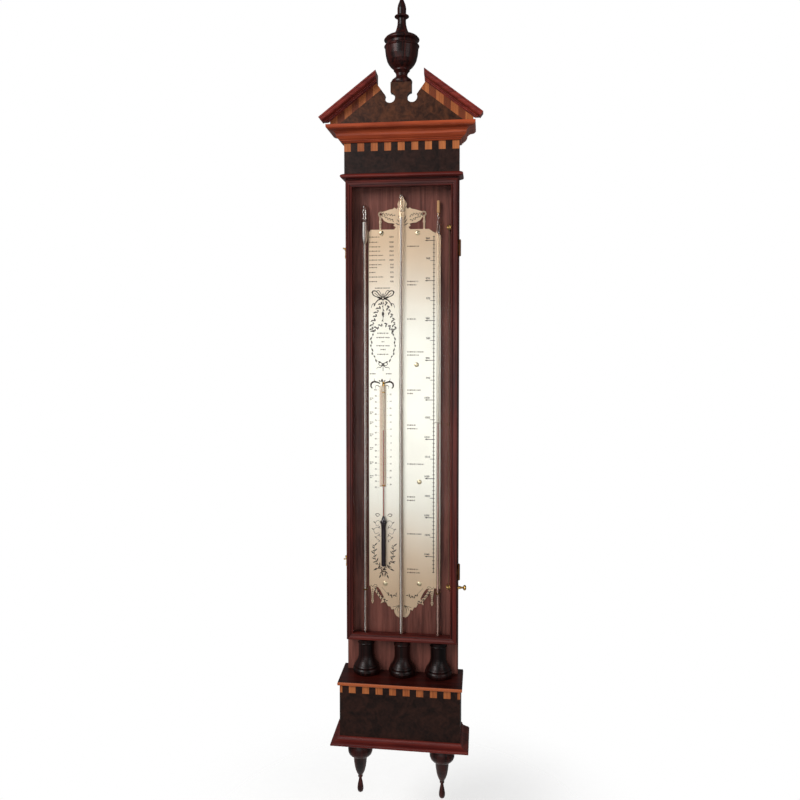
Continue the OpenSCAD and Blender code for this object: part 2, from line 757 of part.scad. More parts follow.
// The inside or the outside of the double tube; g is taken off every radius.
module siphon(r, bulb, res, bulge, mouth, g, cut) {
  translate([left_x, y_tube, 0])
    rotate_extrude($fn = 48)
      polygon([[0, z_bend + bend_r], [r - g, z_bend + bend_r], [r - g, z_bulb0 - 2],
        [bulb - g - 0.9, z_bulb0 + 3],
        [bulb - g, z_bulb0 + 8], [bulb - g, z_bulb1 - 7 - cut], [bulb - g - 1, z_bulb1 - 3 - cut],
        [bulb - g - 2.9, z_bulb1 - 0.4 - cut], [0, z_bulb1 - cut]]);
  translate([left_x + bend_r, y_tube, z_bend + bend_r])
    rotate([90, 0, 0])
      rotate_extrude(angle = 90, start = 180, $fn = 64)
        translate([bend_r, 0])
          circle(r = r - g, $fn = 32);
  rod_x([left_x + bend_r, y_tube, z_bend], r - g, right_x - left_x - 2 * bend_r);
  translate([right_x - bend_r, y_tube, z_bend + bend_r])
    rotate([90, 0, 0])
      rotate_extrude(angle = 90, start = 270, $fn = 64)
        translate([bend_r, 0])
          circle(r = r - g, $fn = 32);
  translate([right_x, y_tube, 0])
    rotate_extrude($fn = 48)
      polygon([[0, z_bend + bend_r], [r - g, z_bend + bend_r], [res - g - 1, z_res0 + 4],
        [res - g, z_res0 + 7],
        [res - g, z_res1 - 7], [res - g - 1, z_res1 - 4], [r - g, z_res1], [r - g, -122], [bulge - g, -116],
        [bulge - g, -104], [mouth - g, -95], [mouth - g, z_cork + (cut > 0 ? 1 : 0)],
        [0, z_cork + (cut > 0 ? 1 : 0)]]);
}

module siphon_bore(g) {
  siphon(siphon_bore_r, bulb_r - 1, reservoir_r - 1, 3, mouth_bore_r, g, 1);
}

module contra_tube() {
  color(clear)
    difference() {
      siphon(siphon_r, bulb_r, reservoir_r, 4, mouth_r, 0, 0);
      siphon_bore(0);
    }
}

// Mercury from the upper bulb round the bend into the lower reservoir.
module contra_mercury() {
  color(silver)
    intersection() {
      siphon_bore(fill_gap);
      union() {
        block([left_x - 9, -9, z_bend - 9], [0, -40, z_contra_top]);
        block([0, -9, z_bend - 9], [right_x + 9, -40, z_liquid0]);
      }
    }
}

module contra_liquid() {
  color([0.85, 0.35, 0.4])
    intersection() {
      siphon_bore(fill_gap);
      block([right_x - 9, -9, z_liquid0 + 0.01], [right_x + 9, -40, -liquid_drop]);
    }
}

// A strap round a tube, with two feet screwed to the back board.
module staple(x, z) {
  translate([x, 0, z - 1])
    linear_extrude(2)
      difference() {
        union() {
          translate([0, y_tube])
            circle(r = siphon_r + 0.8, $fn = 48);
          translate([-siphon_r - 0.8, y_tube])
            square([2 * siphon_r + 1.6, y_board - y_tube]);
          translate([-siphon_r - 2.2, y_board - 0.9])
            square([2 * siphon_r + 4.4, 0.9]);
        }
        translate([0, y_tube])
          circle(r = siphon_r + fix_gap, $fn = 48);
        translate([-siphon_r - fix_gap, y_tube])
          square([2 * (siphon_r + fix_gap), 20]);
      }
}

module tube_staples() {
  color(brass) {
    staple(left_x, -plate_bot - 4);
    staple(right_x, -plate_bot - 6);
  }
}

// The saddles under the level run of the double tube, and the bearer under the cistern.
module tube_bearers() {
  color(dark_wood) {
    for (x = [-36, 33])
      difference() {
        block([x - 4, y_tube - 5, z_box0 + box_floor_t], [x + 4, y_tube + 5, z_bend]);
        rod_x([x - 5, y_tube, z_bend], siphon_r + fix_gap, 10);
      }
    block([mid_x - cistern_r - 6, y_board, z_cistern0 - 6],
      [mid_x + cistern_r + 6, y_tube - cistern_r - 2, z_cistern0]);
  }
}

module barometer_tube() {
  color(clear)
    difference() {
      translate([mid_x, y_tube, 0])
        rotate_extrude($fn = 48)
          polygon([[0, z_cistern0 + 6], [mid_r, z_cistern0 + 6], [mid_r, -58.5], [mid_r * 0.87, -56.8],
            [mid_r * 0.5, -55.5], [0, -55]]);
      translate([mid_x, y_tube, 0])
        rotate_extrude($fn = 48)
          polygon([[0, z_cistern0 + 5], [mid_bore_r, z_cistern0 + 5], [mid_bore_r, -59],
            [mid_bore_r * 0.6, -57.4],
            [0, -57]]);
    }
}

module barometer_mercury() {
  g = fill_gap;
  r0 = cistern_in_r - g;
  r1 = mid_bore_r - g;
  color(silver)
    translate([mid_x, y_tube, 0])
      rotate_extrude($fn = 48)
        polygon([[0, z_cistern0 + 4 + g], [r0, z_cistern0 + 4 + g], [r0, z_pool], [mid_r + g, z_pool],
          [mid_r + g, z_cistern0 + 6 - g], [r1, z_cistern0 + 6 - g], [r1, z_pool + column_h - 0.8],
          [mid_bore_r * 0.5, z_pool + column_h], [0, z_pool + column_h + 0.3]]);
}

module cistern_cup() {
  r = cistern_r;
  color(boxwood)
    translate([mid_x, y_tube, z_cistern0])
      rotate_extrude($fn = 72)
        polygon([[0, 0], [r - 1.5, 0], [r - 1.5, 1.5], [r, 3], [r, 38], [cistern_in_r, 38],
          [cistern_in_r, 4], [0, 4]]);
}

module cistern_lid() {
  r = cistern_r;
  hole = mid_r + fix_gap;
  spigot = cistern_in_r - fix_gap;
  color(boxwood)
    translate([mid_x, y_tube, z_cistern1])
      rotate_extrude($fn = 72)
        polygon([[hole, -3], [spigot, -3], [spigot, 0], [r, 0], [r, 2], [r - 2, 3.5], [hole + 3, 4.2],
          [hole, 4.2]]);
}

// A turned bell, sawn flat where it meets the back board, with an upright way for its tube.
module baluster(i) {
  h = gallery_h;
  r = bell_r;
  n = bell_neck_r;
  difference() {
      translate([bells_x[i], bell_y, z_shelf1])
        rotate_extrude($fn = 96)
          polygon(concat(
            [[0, 0], [r * 0.82, 0], [r * 0.9, h * 0.02], [r * 0.965, h * 0.055], [r, h * 0.11]],
            [[r * 0.985, h * 0.155], [r * 0.94, h * 0.19], [r * 0.895, h * 0.2], [r * 0.895, h * 0.215]],
            [[r * 0.91, h * 0.236], [r * 0.87, h * 0.262], [r * 0.8, h * 0.297], [r * 0.73, h * 0.34]],
            [[n + (r - n) * 0.24, h * 0.385], [n + (r - n) * 0.12, h * 0.44], [n + (r - n) * 0.04, h * 0.5]],
            [[n, h * 0.56], [n, h * 0.86]],
            arc([n - 0.4, h * 0.895], h * 0.025, -70, 70, 5),
            [[n, h * 0.93], [n, h], [0, h]]));
      block([bells_x[i] - 30, y_board, z_shelf1 - 1], [bells_x[i] + 30, 20, z_case0 + 1]);
      tube_ways(z_shelf1 - 1, h + 2);
    }
}

module balusters() {
  color(ebony)
    for (i = [0:2])
      baluster(i);
}

module shelf_board() {
  t = shelf_t;
  color(mahogany)
    difference() {
      moulded_slab(shelf_w / 2 - 1.5, shelf_d - 1.5, [[0.6, z_shelf1], [1.2, z_shelf1 - t * 0.14],
        [1.5, z_shelf1 - t * 0.35],
        [1.5, z_shelf1 - t * 0.72], [1.1, z_shelf1 - t * 0.9], [0.4, z_box1]]);
      block([-half_case, 1, z_box1 - 1], [half_case, y_board, z_shelf1 + 1]);
      tube_ways(z_box1 - 1, t + 2);
    }
}

// The light teeth along the top of the box front, with a part of one at each end.
module teeth() {
  for (i = [-3.5:1:3.5])
    block([i * tooth_pitch - tooth_w / 2, inlay_t - box_d, z_box1 - tooth_h],
      [i * tooth_pitch + tooth_w / 2, -box_d, z_box1]);
  for (s = [-1, 1])
    block([s * (4.5 * tooth_pitch - tooth_w / 2), inlay_t - box_d, z_box1 - tooth_h],
      [s * box_w / 2, -box_d, z_box1]);
}

module box_front() {
  color(dark_wood)
    difference() {
      block([-box_w / 2, box_front_t - box_d, z_box0], [box_w / 2, -box_d, z_box1]);
      teeth();
    }
}

module box_inlay() {
  color(satinwood)
    teeth();
}

module box_sides() {
  color(dark_wood)
    for (s = [-1, 1])
      block([s * box_in, 0, z_box0], [s * box_w / 2, box_front_t - box_d, z_box1]);
}

module box_floor() {
  color(dark_wood)
    block([-box_in, y_board, z_box0], [box_in, box_front_t - box_d, z_box0 + box_floor_t]);
}

module plinth_moulding() {
  prof = [[0, 0], [0.12, 0.02], [0.12, 0.1], [0.13, 0.16], [0.17, 0.28], [0.25, 0.39], [0.36, 0.47],
    [0.48, 0.5],
    [0.55, 0.51], [0.55, 0.57], [0.66, 0.58], [0.78, 0.605], [0.87, 0.65], [0.93, 0.71],
    [0.95, 0.775], [1, 0.78],
    [1, 0.97], [0.975, 1]];
  color(mahogany)
    moulded_slab(box_w / 2, box_d, [for (p = prof) [p[0] * plinth_over, z_box0 - p[1] * plinth_h]]);
}

module pendants() {
  r = pendant_r;
  h = pendant_h;
  color(ebony)
    for (s = [-1, 1])
      translate([s * pendant_x, -42, z_plinth0])
        rotate_extrude($fn = 96)
          polygon(concat(
            [[0, 0], [r * 0.66, 0], [r * 0.68, -h * 0.03], [r * 0.8, -h * 0.07], [r * 0.9, -h * 0.12]],
            [[r * 0.97, -h * 0.17], [r, -h * 0.22], [r * 0.99, -h * 0.26], [r * 0.93, -h * 0.295]],
            [[r * 0.82, -h * 0.32], [r * 0.68, -h * 0.338], [r * 0.56, -h * 0.345], [r * 0.55, -h * 0.36]],
            [[r * 0.5, -h * 0.47], [r * 0.45, -h * 0.54], [r * 0.38, -h * 0.6], [r * 0.29, -h * 0.65]],
            [[r * 0.19, -h * 0.69], [r * 0.15, -h * 0.7], [r * 0.19, -h * 0.71], [r * 0.19, -h * 0.722]],
            [[r * 0.12, -h * 0.738], [r * 0.13, -h * 0.77]],
            [[r * 0.19, -h * 0.83], [r * 0.245, -h * 0.9], [r * 0.25, -h * 0.945],
            [r * 0.2, -h * 0.98], [r * 0.09, -h], [0, -h]]));
}

module spindle_bush() {
  color(brass)
    difference() {
      union() {
        rod_x([side_in - 1, y_tube, -drive_drop], 3, case_t + 1);
        rod_x([half_case, y_tube, -drive_drop], 4, 1);
      }
      rod_x([side_in - 2, y_tube, -drive_drop], spindle_r + run_gap, case_t + 4);
    }
}

// A turned pulley about X with its middle at the cord.
module pulley(z, bore) {
  color(brass)
    translate([cord_x - pulley_w / 2, y_tube, z])
      rotate([0, 90, 0])
        rotate_extrude($fn = 64)
          polygon([[bore, 0], [flange_r, 0], [flange_r, 0.9], [groove_r, 1.3], [groove_r, pulley_w - 1.3],
            [flange_r, pulley_w - 0.9], [flange_r, pulley_w], [bore, pulley_w]]);
}

module idler_stud() {
  x0 = cord_x - pulley_w / 2;
  color(brass) {
    rod_x([x0 - 1.3, y_tube, -idler_drop], 2.1, 1);
    rod_x([x0 - 1, y_tube, -idler_drop], stud_r, pulley_w + 2);
    rod_x([x0 + pulley_w + move_gap, y_tube, -idler_drop], 2.2, side_in - x0 - pulley_w - move_gap);
    rod_x([side_in - 0.5, y_tube, -idler_drop], 1.5, 5.5);
  }
}

module idler_pulley() {
  pulley(-idler_drop, stud_r + run_gap);
}

module cord_loop() {
  color([0.2, 0.16, 0.12]) {
    for (s = [-1, 1])
      rod_z([cord_x, y_tube + s * cord_line_r, -drive_drop], cord_r, drive_drop - idler_drop, 24);
    translate([cord_x, y_tube, -idler_drop])
      rotate([90, 0, 90])
        rotate_extrude(angle = 180, start = 0, $fn = 64)
          translate([cord_line_r, 0])
            circle(r = cord_r, $fn = 24);
    translate([cord_x, y_tube, -drive_drop])
      rotate([90, 0, 90])
        rotate_extrude(angle = 180, start = 180, $fn = 64)
          translate([cord_line_r, 0])
            circle(r = cord_r, $fn = 24);
  }
}

// The spindle with its riveted inner end, stem and flattened knob.
module knob_spindle() {
  color(brass)
    translate([cord_x - pulley_w / 2 - 1.2, y_tube, -drive_drop])
      rotate([0, 90, 0])
        rotate_extrude($fn = 64)
          let (a = knob_x - cord_x + pulley_w / 2 + 1.2, b = a - 9.5 + move_gap)
            polygon(concat([[0, 0], [2, 0.3], [2, 1.2], [spindle_r, 1.2], [spindle_r, b], [2.4, b],
              [2.4, b + 2.4],
              [1.7, b + 3.2], [1.6, a - 3]], arc([knob_r - 2.4, a], 2.4, -105, 105, 10), [[0, a + 2.5]]));
}

module drive_pulley() {
  pulley(-drive_drop, spindle_r + fix_gap);
}

module pointer() {
  y = y_tube - cord_line_r;
  color(brass)
    difference() {
      union() {
        rod_z([cord_x, y, -pointer_drop - 1.8], 1.3, 3.6, 32);
        translate([cord_x, y, -pointer_drop])
          rotate([0, -90, 0])
            rotate([0, 7, 0])
              cylinder(r1 = 0.55, r2 = 0.3, h = 24, $fn = 24);
      }
      rod_z([cord_x, y, -pointer_drop - 3], cord_r + run_gap * 2, 6, 32);
    }
}

module cork_stopper() {
  color([0.72, 0.45, 0.22])
    translate([right_x, y_tube, z_cork])
      rotate_extrude($fn = 48)
        polygon([[0, -5], [mouth_bore_r - run_gap, -5], [mouth_bore_r - run_gap, 0], [2.3, 0],
          [2.5, 0.6], [2.3, 18],
          [2, 18.6], [0, 18.6]]);
}

// The leaf and knuckles of one hinge; side 1 is the case leaf, side 0 the door leaf with the middle
// knuckle.
module hinge(z, side) {
  h = hinge_h;
  k = h / 3;
  y0 = side == 1 ? y_case : y_door;
  y1 = side == 1 ? y_case + hinge_t : y_door - hinge_t;
  g = move_gap / 2;
  spans = side == 1 ? [[-h / 2, -k / 2 - g], [k / 2 + g, h / 2]] : [[-k / 2 + g, k / 2 - g]];
  difference() {
    union() {
      block([leaf_x, y0, z - h / 2], [door_w / 2, y1, z + h / 2]);
      for (p = spans) {
        block([door_w / 2 - 0.1, y0, z + p[0]], [hinge_x, y1, z + p[1]]);
        rod_z([hinge_x, hinge_y, z + p[0]], knuckle_r, p[1] - p[0]);
      }
    }
    rod_z([hinge_x, hinge_y, z - h], hinge_pin_r + run_gap, 2 * h, 32);
  }
}

module hinge_case_leaves() {
  color([0.35, 0.26, 0.14])
    for (z = [-hinge_upper, -hinge_lower])
      hinge(z, 1);
}

module hinge_pins() {
  color([0.35, 0.26, 0.14])
    for (z = [-hinge_upper, -hinge_lower]) {
      rod_z([hinge_x, hinge_y, z - hinge_h / 2], hinge_pin_r, hinge_h, 32);
      rod_z([hinge_x, hinge_y, z + hinge_h / 2], 1.7, 0.9, 32);
      rod_z([hinge_x, hinge_y, z - hinge_h / 2 - 0.9], 1.7, 0.9, 32);
    }
}

module hinge_door_leaves() {
  color([0.35, 0.26, 0.14])
    for (z = [-hinge_upper, -hinge_lower])
      hinge(z, 0);
}

module hook_pivots() {
  color(brass)
    for (z = [-hook_upper_drop, -hook_lower_drop]) {
      rod_x([-half_case - move_gap, hook_y, z], 2, move_gap, 32);
      rod_x([hook_x0 - hook_t - move_gap - 0.5, hook_y, z], hook_pin_r,
        half_case - side_in - 2.6 + 2 * move_gap + hook_t, 32);
      rod_x([hook_x0 - hook_t - move_gap - 0.9, hook_y, z], 1.9, 0.9, 32);
    }
}

// A flat hook hanging from its pivot, with its mouth towards the wall.
module hook(z) {
  color(brass)
    translate([hook_x0, 0, 0])
      rotate([90, 0, -90])
        linear_extrude(hook_t)
          translate([-hook_y, z])
            difference() {
              union() {
                circle(r = 2.2, $fn = 32);
                translate([-0.8, -hook_len])
                  square([1.6, hook_len]);
                translate([0, -hook_len])
                  circle(r = door_pin_r + 1.6, $fn = 32);
              }
              circle(r = hook_pin_r + run_gap, $fn = 32);
              translate([0, -hook_len])
                circle(r = door_pin_r + 0.4, $fn = 32);
              translate([-6, -hook_len - door_pin_r - 0.4])
                square([6, 2 * door_pin_r + 1.1]);
            }
}

module hook_upper() {
  hook(-hook_upper_drop);
}

module hook_lower() {
  hook(-hook_lower_drop);
}

module hook_pins() {
  color(brass)
    for (z = [-hook_upper_drop, -hook_lower_drop]) {
      rod_x([-half_case - 2.6, hook_y - hook_len, z], door_pin_r, 8, 24);
      rod_x([-half_case - 3.2, hook_y - hook_len, z], 1.4, 0.8, 24);
    }
}

// Section of the door frame: each point is [distance in from the outer edge, y].
function frame_section() = let (w = frame_w, f = y_front) [[0, y_door], [0, f + 0.6], [0.6, f],
  [w * 0.24, f],
  [w * 0.28, f + 0.9], [w * 0.6, f + 1.3], [w * 0.63, f + 2.8], [w * 0.75, f + 3],
  [w * 0.77, f + 1.8], [w * 0.82, f + 1.2], [w * 0.92, f + 1.2],
  [w * 0.98, f + 1.9], [w, f + 2.6], [w, y_glass_front], [rebate_u, y_glass_front], [rebate_u, y_door]];

// A frame member along X with its outer edge up, mitred at both ends.
module frame_member(l) {
  intersection() {
    translate([-l / 2, 0, 0])
      rotate([90, 0, 90])
        linear_extrude(l)
          polygon([for (p = frame_section()) [p[1], -p[0]]]);
    rotate([90, 0, 0])
      linear_extrude(60)
        polygon([[-l / 2, 0], [l / 2, 0], [l / 2 - frame_w, -frame_w], [-l / 2 + frame_w, -frame_w]]);
  }
}

module door_stile_left() {
  color(mahogany)
    difference() {
      translate([-door_w / 2, 0, z_door_mid])
        rotate([0, -90, 0])
          frame_member(door_h);
      for (z = [-hook_upper_drop, -hook_lower_drop])
        rod_x([-door_w / 2 - 1, hook_y - hook_len, z], door_pin_r + fix_gap, 5.5);
    }
}

module door_stile_right() {
  color(mahogany)
    difference() {
      translate([door_w / 2, 0, z_door_mid])
        rotate([0, 90, 0])
          frame_member(door_h);
      for (z = [-hinge_upper, -hinge_lower])
        block([leaf_x, y_door + 1, z - hinge_h / 2], [half_case + 1, y_door - hinge_t, z + hinge_h / 2]);
    }
}

module door_rail_top() {
  color(mahogany)
    translate([0, 0, z_door1])
      frame_member(door_w);
}

module door_rail_bottom() {
  color(mahogany)
    translate([0, 0, z_door0])
      rotate([0, 180, 0])
        frame_member(door_w);
}

module door_glass() {
  i = rebate_u + 0.1;
  color(clear)
    block([-door_w / 2 + i, y_glass_front, z_door0 + i], [door_w / 2 - i, y_glass_back, z_door1 - i]);
}

module glazing_beads() {
  i = rebate_u;
  w = 3;
  color(mahogany) {
    for (s = [-1, 1])
      block([s * (door_w / 2 - i), y_glass_back, z_door0 + i],
        [s * (door_w / 2 - i - w), y_door - 0.6, z_door1 - i]);
    for (z = [z_door0 + i, z_door1 - i - w])
      block([-door_w / 2 + i + w + fill_gap, y_glass_back, z],
        [door_w / 2 - i - w - fill_gap, y_door - 0.6, z + w]);
  }
}

back_board();
hanger_plate();
brass_screws();
case_side_left();
case_side_right();
case_top_board();
case_bottom_board();
frieze_board();
frieze_inlay();
torus_moulding();
cornice();
tympanum();
pediment_inlay_light();
pediment_inlay_red();
raking_cornices();
finial();
scale_plate();
thermometer_plate();
thermometer_tube();
thermometer_spirit();
thermometer_guard();
thermometer_clips();
contra_tube();
contra_mercury();
contra_liquid();
tube_staples();
tube_bearers();
barometer_tube();
barometer_mercury();
cistern_cup();
cistern_lid();
balusters();
shelf_board();
box_front();
box_inlay();
box_sides();
box_floor();
plinth_moulding();
pendants();
spindle_bush();
idler_stud();
cord_loop();
hinge_case_leaves();
hinge_pins();
hook_pivots();
door_stile_left();
door_stile_right();
door_rail_top();
door_rail_bottom();
door_glass();
glazing_beads();
hinge_door_leaves();
hook_pins();
hook_upper();
hook_lower();
knob_spindle();
drive_pulley();
idler_pulley();
pointer();
cork_stopper();
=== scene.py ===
"""Dresses the wall barometer: its woods, brass and glass, the engraved scale, the small trim and the stage."""

import math

import bpy
from bpy.props import FloatProperty, FloatVectorProperty, IntProperty, PointerProperty
from bpy.types import Operator, Panel, PropertyGroup
from mathutils import Matrix, Vector


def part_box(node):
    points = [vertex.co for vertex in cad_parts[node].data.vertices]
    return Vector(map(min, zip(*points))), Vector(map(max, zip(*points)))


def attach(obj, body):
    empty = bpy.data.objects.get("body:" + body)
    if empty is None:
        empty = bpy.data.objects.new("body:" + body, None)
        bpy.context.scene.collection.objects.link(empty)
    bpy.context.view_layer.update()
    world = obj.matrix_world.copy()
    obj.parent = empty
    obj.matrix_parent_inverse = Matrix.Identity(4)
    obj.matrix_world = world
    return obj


bl_info = {
    "name": "Wall Barometer",
    "version": (1, 0, 0),
    "blender": (4, 5, 0),
    "location": "3D View > Sidebar > Barometer",
    "description": "Finishes, engraving and small trim of a glazed wall barometer",
    "category": "Object",
}

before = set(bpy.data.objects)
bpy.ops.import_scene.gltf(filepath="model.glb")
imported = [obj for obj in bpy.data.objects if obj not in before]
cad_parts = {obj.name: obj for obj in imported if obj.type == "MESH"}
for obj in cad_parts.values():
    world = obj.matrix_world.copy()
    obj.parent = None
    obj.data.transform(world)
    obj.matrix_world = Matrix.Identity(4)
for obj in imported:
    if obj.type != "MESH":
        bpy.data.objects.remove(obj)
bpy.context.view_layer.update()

MM = 0.001
ENGRAVING_PROUD = 0.04 * MM


def tone(red, green, blue):
    """A colour as it looks on a screen, 0 to 255, as the light values that a shader takes."""
    def light(value):
        value /= 255
        return value / 12.92 if value <= 0.04045 else ((value + 0.055) / 1.055) ** 2.4
    return (light(red), light(green), light(blue))


def paint(name, about, colour):
    """A colour that the user may change."""
    return FloatVectorProperty(name=name, description=about, default=tone(*colour), min=0, max=1, subtype="COLOR")


def share(name, about, default, low=0.0, high=1.0):
    """A bare number that the user may change."""
    return FloatProperty(name=name, description=about, default=default, min=low, max=high)


def size(name, about, default, low=0.0, high=10.0):
    """A length in metres that the user may change."""
    return FloatProperty(
        name=name, description=about, default=default, min=low, max=high, precision=5,
        unit="LENGTH", subtype="DISTANCE")


class BarometerWoods(PropertyGroup):
    """Colours of the case's woods, each as its dark and its light grain."""

    panel_dark: paint("Panel dark", "Dark grain of the back board", (74, 40, 34))
    panel_light: paint("Panel light", "Light grain of the back board", (136, 82, 71))
    frame_dark: paint("Frame dark", "Dark grain of the door frame and case", (46, 15, 14))
    frame_light: paint("Frame light", "Light grain of the door frame and case", (104, 38, 30))
    cornice_dark: paint("Cornice dark", "Dark grain of the level cornice", (122, 44, 24))
    cornice_light: paint("Cornice light", "Light grain of the level cornice", (186, 84, 46))
    raking_dark: paint("Raking dark", "Dark grain of the raking mouldings", (84, 26, 26))
    raking_light: paint("Raking light", "Light grain of the raking mouldings", (150, 58, 46))
    veneer_dark: paint("Burr dark", "Dark figure of the burr veneer", (38, 20, 13))
    veneer_light: paint("Burr light", "Light figure of the burr veneer", (90, 50, 28))
    frieze_dark: paint("Frieze dark", "Dark figure of the frieze and box veneer", (17, 8, 6))
    frieze_light: paint("Frieze light", "Light figure of the frieze and box veneer", (50, 27, 20))
    inlay_dark: paint("Inlay dark", "Dark grain of the light inlay", (138, 70, 36))
    inlay_light: paint("Inlay light", "Light grain of the light inlay", (192, 116, 66))
    red_dark: paint("Red inlay dark", "Dark grain of the red inlay", (92, 40, 22))
    red_light: paint("Red inlay light", "Light grain of the red inlay", (134, 66, 36))
    ebony_dark: paint("Turnings dark", "Dark grain of the stained turnings", (20, 7, 7))
    ebony_light: paint("Turnings light", "Light grain of the stained turnings", (70, 24, 18))
    coat: share("Polish", "How strong the clear polish over the woods is", 0.12)


class BarometerMetals(PropertyGroup):
    """Colours of the brass and bronze, and of the engraved plate."""

    # Painted reflection: the pale middle colour stands for a bright room mirrored in the plate.
    plate_middle: paint("Plate painted reflection", "Painted reflection of a bright room in the middle of the scale plate", (255, 253, 240))
    plate_ends: paint("Plate ends", "Brass at both ends of the scale plate, beyond the painted reflection", (236, 206, 172))
    plate_rough: share("Plate roughness", "Roughness of the lacquered scale plate", 0.36)
    brass: paint("Brass", "Lacquered brass of screws, pulleys and knob", (222, 178, 100))
    bronze: paint("Bronze", "Dark bronze of the hinges", (118, 80, 52))
    engraving: paint("Engraving", "Wax in the engraved lines", (50, 34, 27))
    engraving_soft: paint("Faint engraving", "Half filled, faint engraved lines", (92, 72, 56))


class BarometerGlass(PropertyGroup):
    """Colours of the glass, the liquids and the thermometer."""

    pane_alpha: share("Pane cover", "How much the door's pane covers what is behind it", 0.03)
    tube_glass: paint("Tube glass", "Tint of the tubes' glass", (253, 251, 247))
    liquid: paint("Liquid", "Coloured liquid in the right tube", (240, 198, 188))
    spirit: paint("Spirit", "Red spirit in the thermometer", (176, 34, 34))
    ivory: paint("Ivory", "Ivory of the thermometer's scale", (246, 230, 208))
    guard: paint("Guard", "Dark guard over the thermometer's bulb", (26, 14, 22))
    cork: paint("Cork", "Cork in the right tube", (196, 150, 104))


class BarometerScale(PropertyGroup):
    """Sizes of the engraved scale."""

    line: size("Line", "Width of an engraved line", 1.0 * MM, 0.0001, 0.002)
    hair: size("Hairline", "Width of a fine engraved line", 0.72 * MM, 0.0001, 0.002)
    scale_top: size("Scale top", "Height of the top of the pressure scale", -121.3 * MM, -1.0, 1.0)
    scale_foot: size("Scale foot", "Height of the foot of the pressure scale", -653.4 * MM, -1.0, 1.0)
    first_arrow: size("First arrow", "Height of the first arrow", -127.9 * MM, -1.0, 1.0)
    arrow_step: size("Arrow step", "Distance between two arrows", 62.42 * MM, 0.01, 0.2)
    first_number: IntProperty(name="First number", description="Number beside the first arrow", default=960)
    arrow_count: IntProperty(name="Arrows", description="How many arrows the scale has", default=9, min=2, max=20)
    number_height: size("Numbers", "Size of the scale's numbers", 4.3 * MM, 0.001, 0.01)


class BarometerStage(PropertyGroup):
    """The studio: lights, floor and camera."""

    key_power: share("Key power", "Power of the large light at the upper left, in watts", 60.0, 0.0, 500.0)
    fill_power: share("Fill power", "Power of the light at the right, in watts", 11.0, 0.0, 500.0)
    panel_power: share("Panel power", "Power of the soft panel behind the camera, in watts", 11.5, 0.0, 500.0)
    world_power: share("Room light", "Strength of the even light of the room", 0.15, 0.0, 5.0)
    floor_z: size("Floor height", "Height of the floor", -1.12, -3.0, 0.0)
    floor_radius: size("Floor radius", "Radius of the floor's disc", 0.5, 0.1, 3.0)
    lens: share("Lens", "Focal length of the camera in millimetres", 34.97, 10.0, 200.0)


class Value:
    """One output of a shader's nodes. Python's signs add Math nodes to it."""

    def __init__(self, shader, socket):
        self.shader = shader
        self.socket = socket

    def maths(self, operation, first, second):
        return self.shader.node("ShaderNodeMath", {"operation": operation}, {0: first, 1: second})

    def __add__(self, other):
        return self.maths("ADD", self, other)

    def __radd__(self, other):
        return self.maths("ADD", other, self)

    def __sub__(self, other):
        return self.maths("SUBTRACT", self, other)

    def __rsub__(self, other):
        return self.maths("SUBTRACT", other, self)

    def __mul__(self, other):
        return self.maths("MULTIPLY", self, other)

    def __rmul__(self, other):
        return self.maths("MULTIPLY", other, self)

    def __truediv__(self, other):
        return self.maths("DIVIDE", self, other)

    def __rtruediv__(self, other):
        return self.maths("DIVIDE", other, self)

    def __pow__(self, other):
        return self.maths("POWER", self, other)

    def __abs__(self):
        return self.maths("ABSOLUTE", self, 0.0)

    def step(self, low, high, start=0.0, end=1.0):
        """Goes smoothly from start to end as the value goes from low to high."""
        return self.shader.node(
            "ShaderNodeMapRange", {"interpolation_type": "SMOOTHSTEP"},
            {"Value": self, "From Min": low, "From Max": high, "To Min": start, "To Max": end})


class Shader:
    """A material in the making, with a Principled surface."""

    def __init__(self, name):
        self.material = bpy.data.materials.new(name)
        self.material.use_nodes = True
        self.tree = self.material.node_tree
        self.surface = self.tree.nodes["Principled BSDF"]
        self.output = self.tree.nodes["Material Output"]

    def node(self, kind, settings=None, sockets=None, out=0):
        """Adds a node of a type with its settings and socket values, and gives one of its outputs."""
        made = self.tree.nodes.new(kind)
        for setting, value in (settings or {}).items():
            if setting == "stops":
                self.ramp(made.color_ramp, value)
            else:
                setattr(made, setting, value)
        for name, value in (sockets or {}).items():
            self.feed(made.inputs[name], value)
        return Value(self, made.outputs[out])

    @staticmethod
    def ramp(ramp, stops):
        while len(ramp.elements) < len(stops):
            ramp.elements.new(0.5)
        for element, (place, colour) in zip(ramp.elements, stops):
            element.position = place
            element.color = (*colour, 1)

    def feed(self, socket, value):
        """Sets a socket, or links an output to it."""
        if isinstance(value, Value):
            self.tree.links.new(value.socket, socket)
        elif isinstance(value, tuple) and len(value) == 3 and len(socket.default_value) == 4:
            socket.default_value = (*value, 1)
        else:
            socket.default_value = value

    def set(self, **sockets):
        """Sets or feeds sockets of the surface, named with _ for a space."""
        for name, value in sockets.items():
            self.feed(self.surface.inputs[name.replace("_", " ")], value)
        return self.material

    def place(self):
        """The point on the object, in metres of the shared frame."""
        return self.node("ShaderNodeTexCoord", out="Object")

    def scaled(self, vector, factors):
        return self.node("ShaderNodeVectorMath", {"operation": "MULTIPLY"}, {0: vector, 1: factors})

    def noise(self, vector, scale, detail=3.0, roughness=0.55, distortion=0.0):
        return self.node("ShaderNodeTexNoise", sockets={
            "Vector": vector, "Scale": scale, "Detail": detail, "Roughness": roughness, "Distortion": distortion})

    def blend(self, factor, first, second, mode="MIX"):
        """Mixes two colours."""
        return self.node(
            "ShaderNodeMix", {"data_type": "RGBA", "blend_type": mode}, {0: factor, 6: first, 7: second}, out=2)

    def bump(self, height, distance, strength=1.0):
        return self.node("ShaderNodeBump", sockets={"Height": height, "Distance": distance, "Strength": strength})

    def axes(self, vector):
        split = self.node("ShaderNodeSeparateXYZ", sockets={0: vector})
        outputs = split.socket.node.outputs
        return [Value(self, output) for output in outputs]


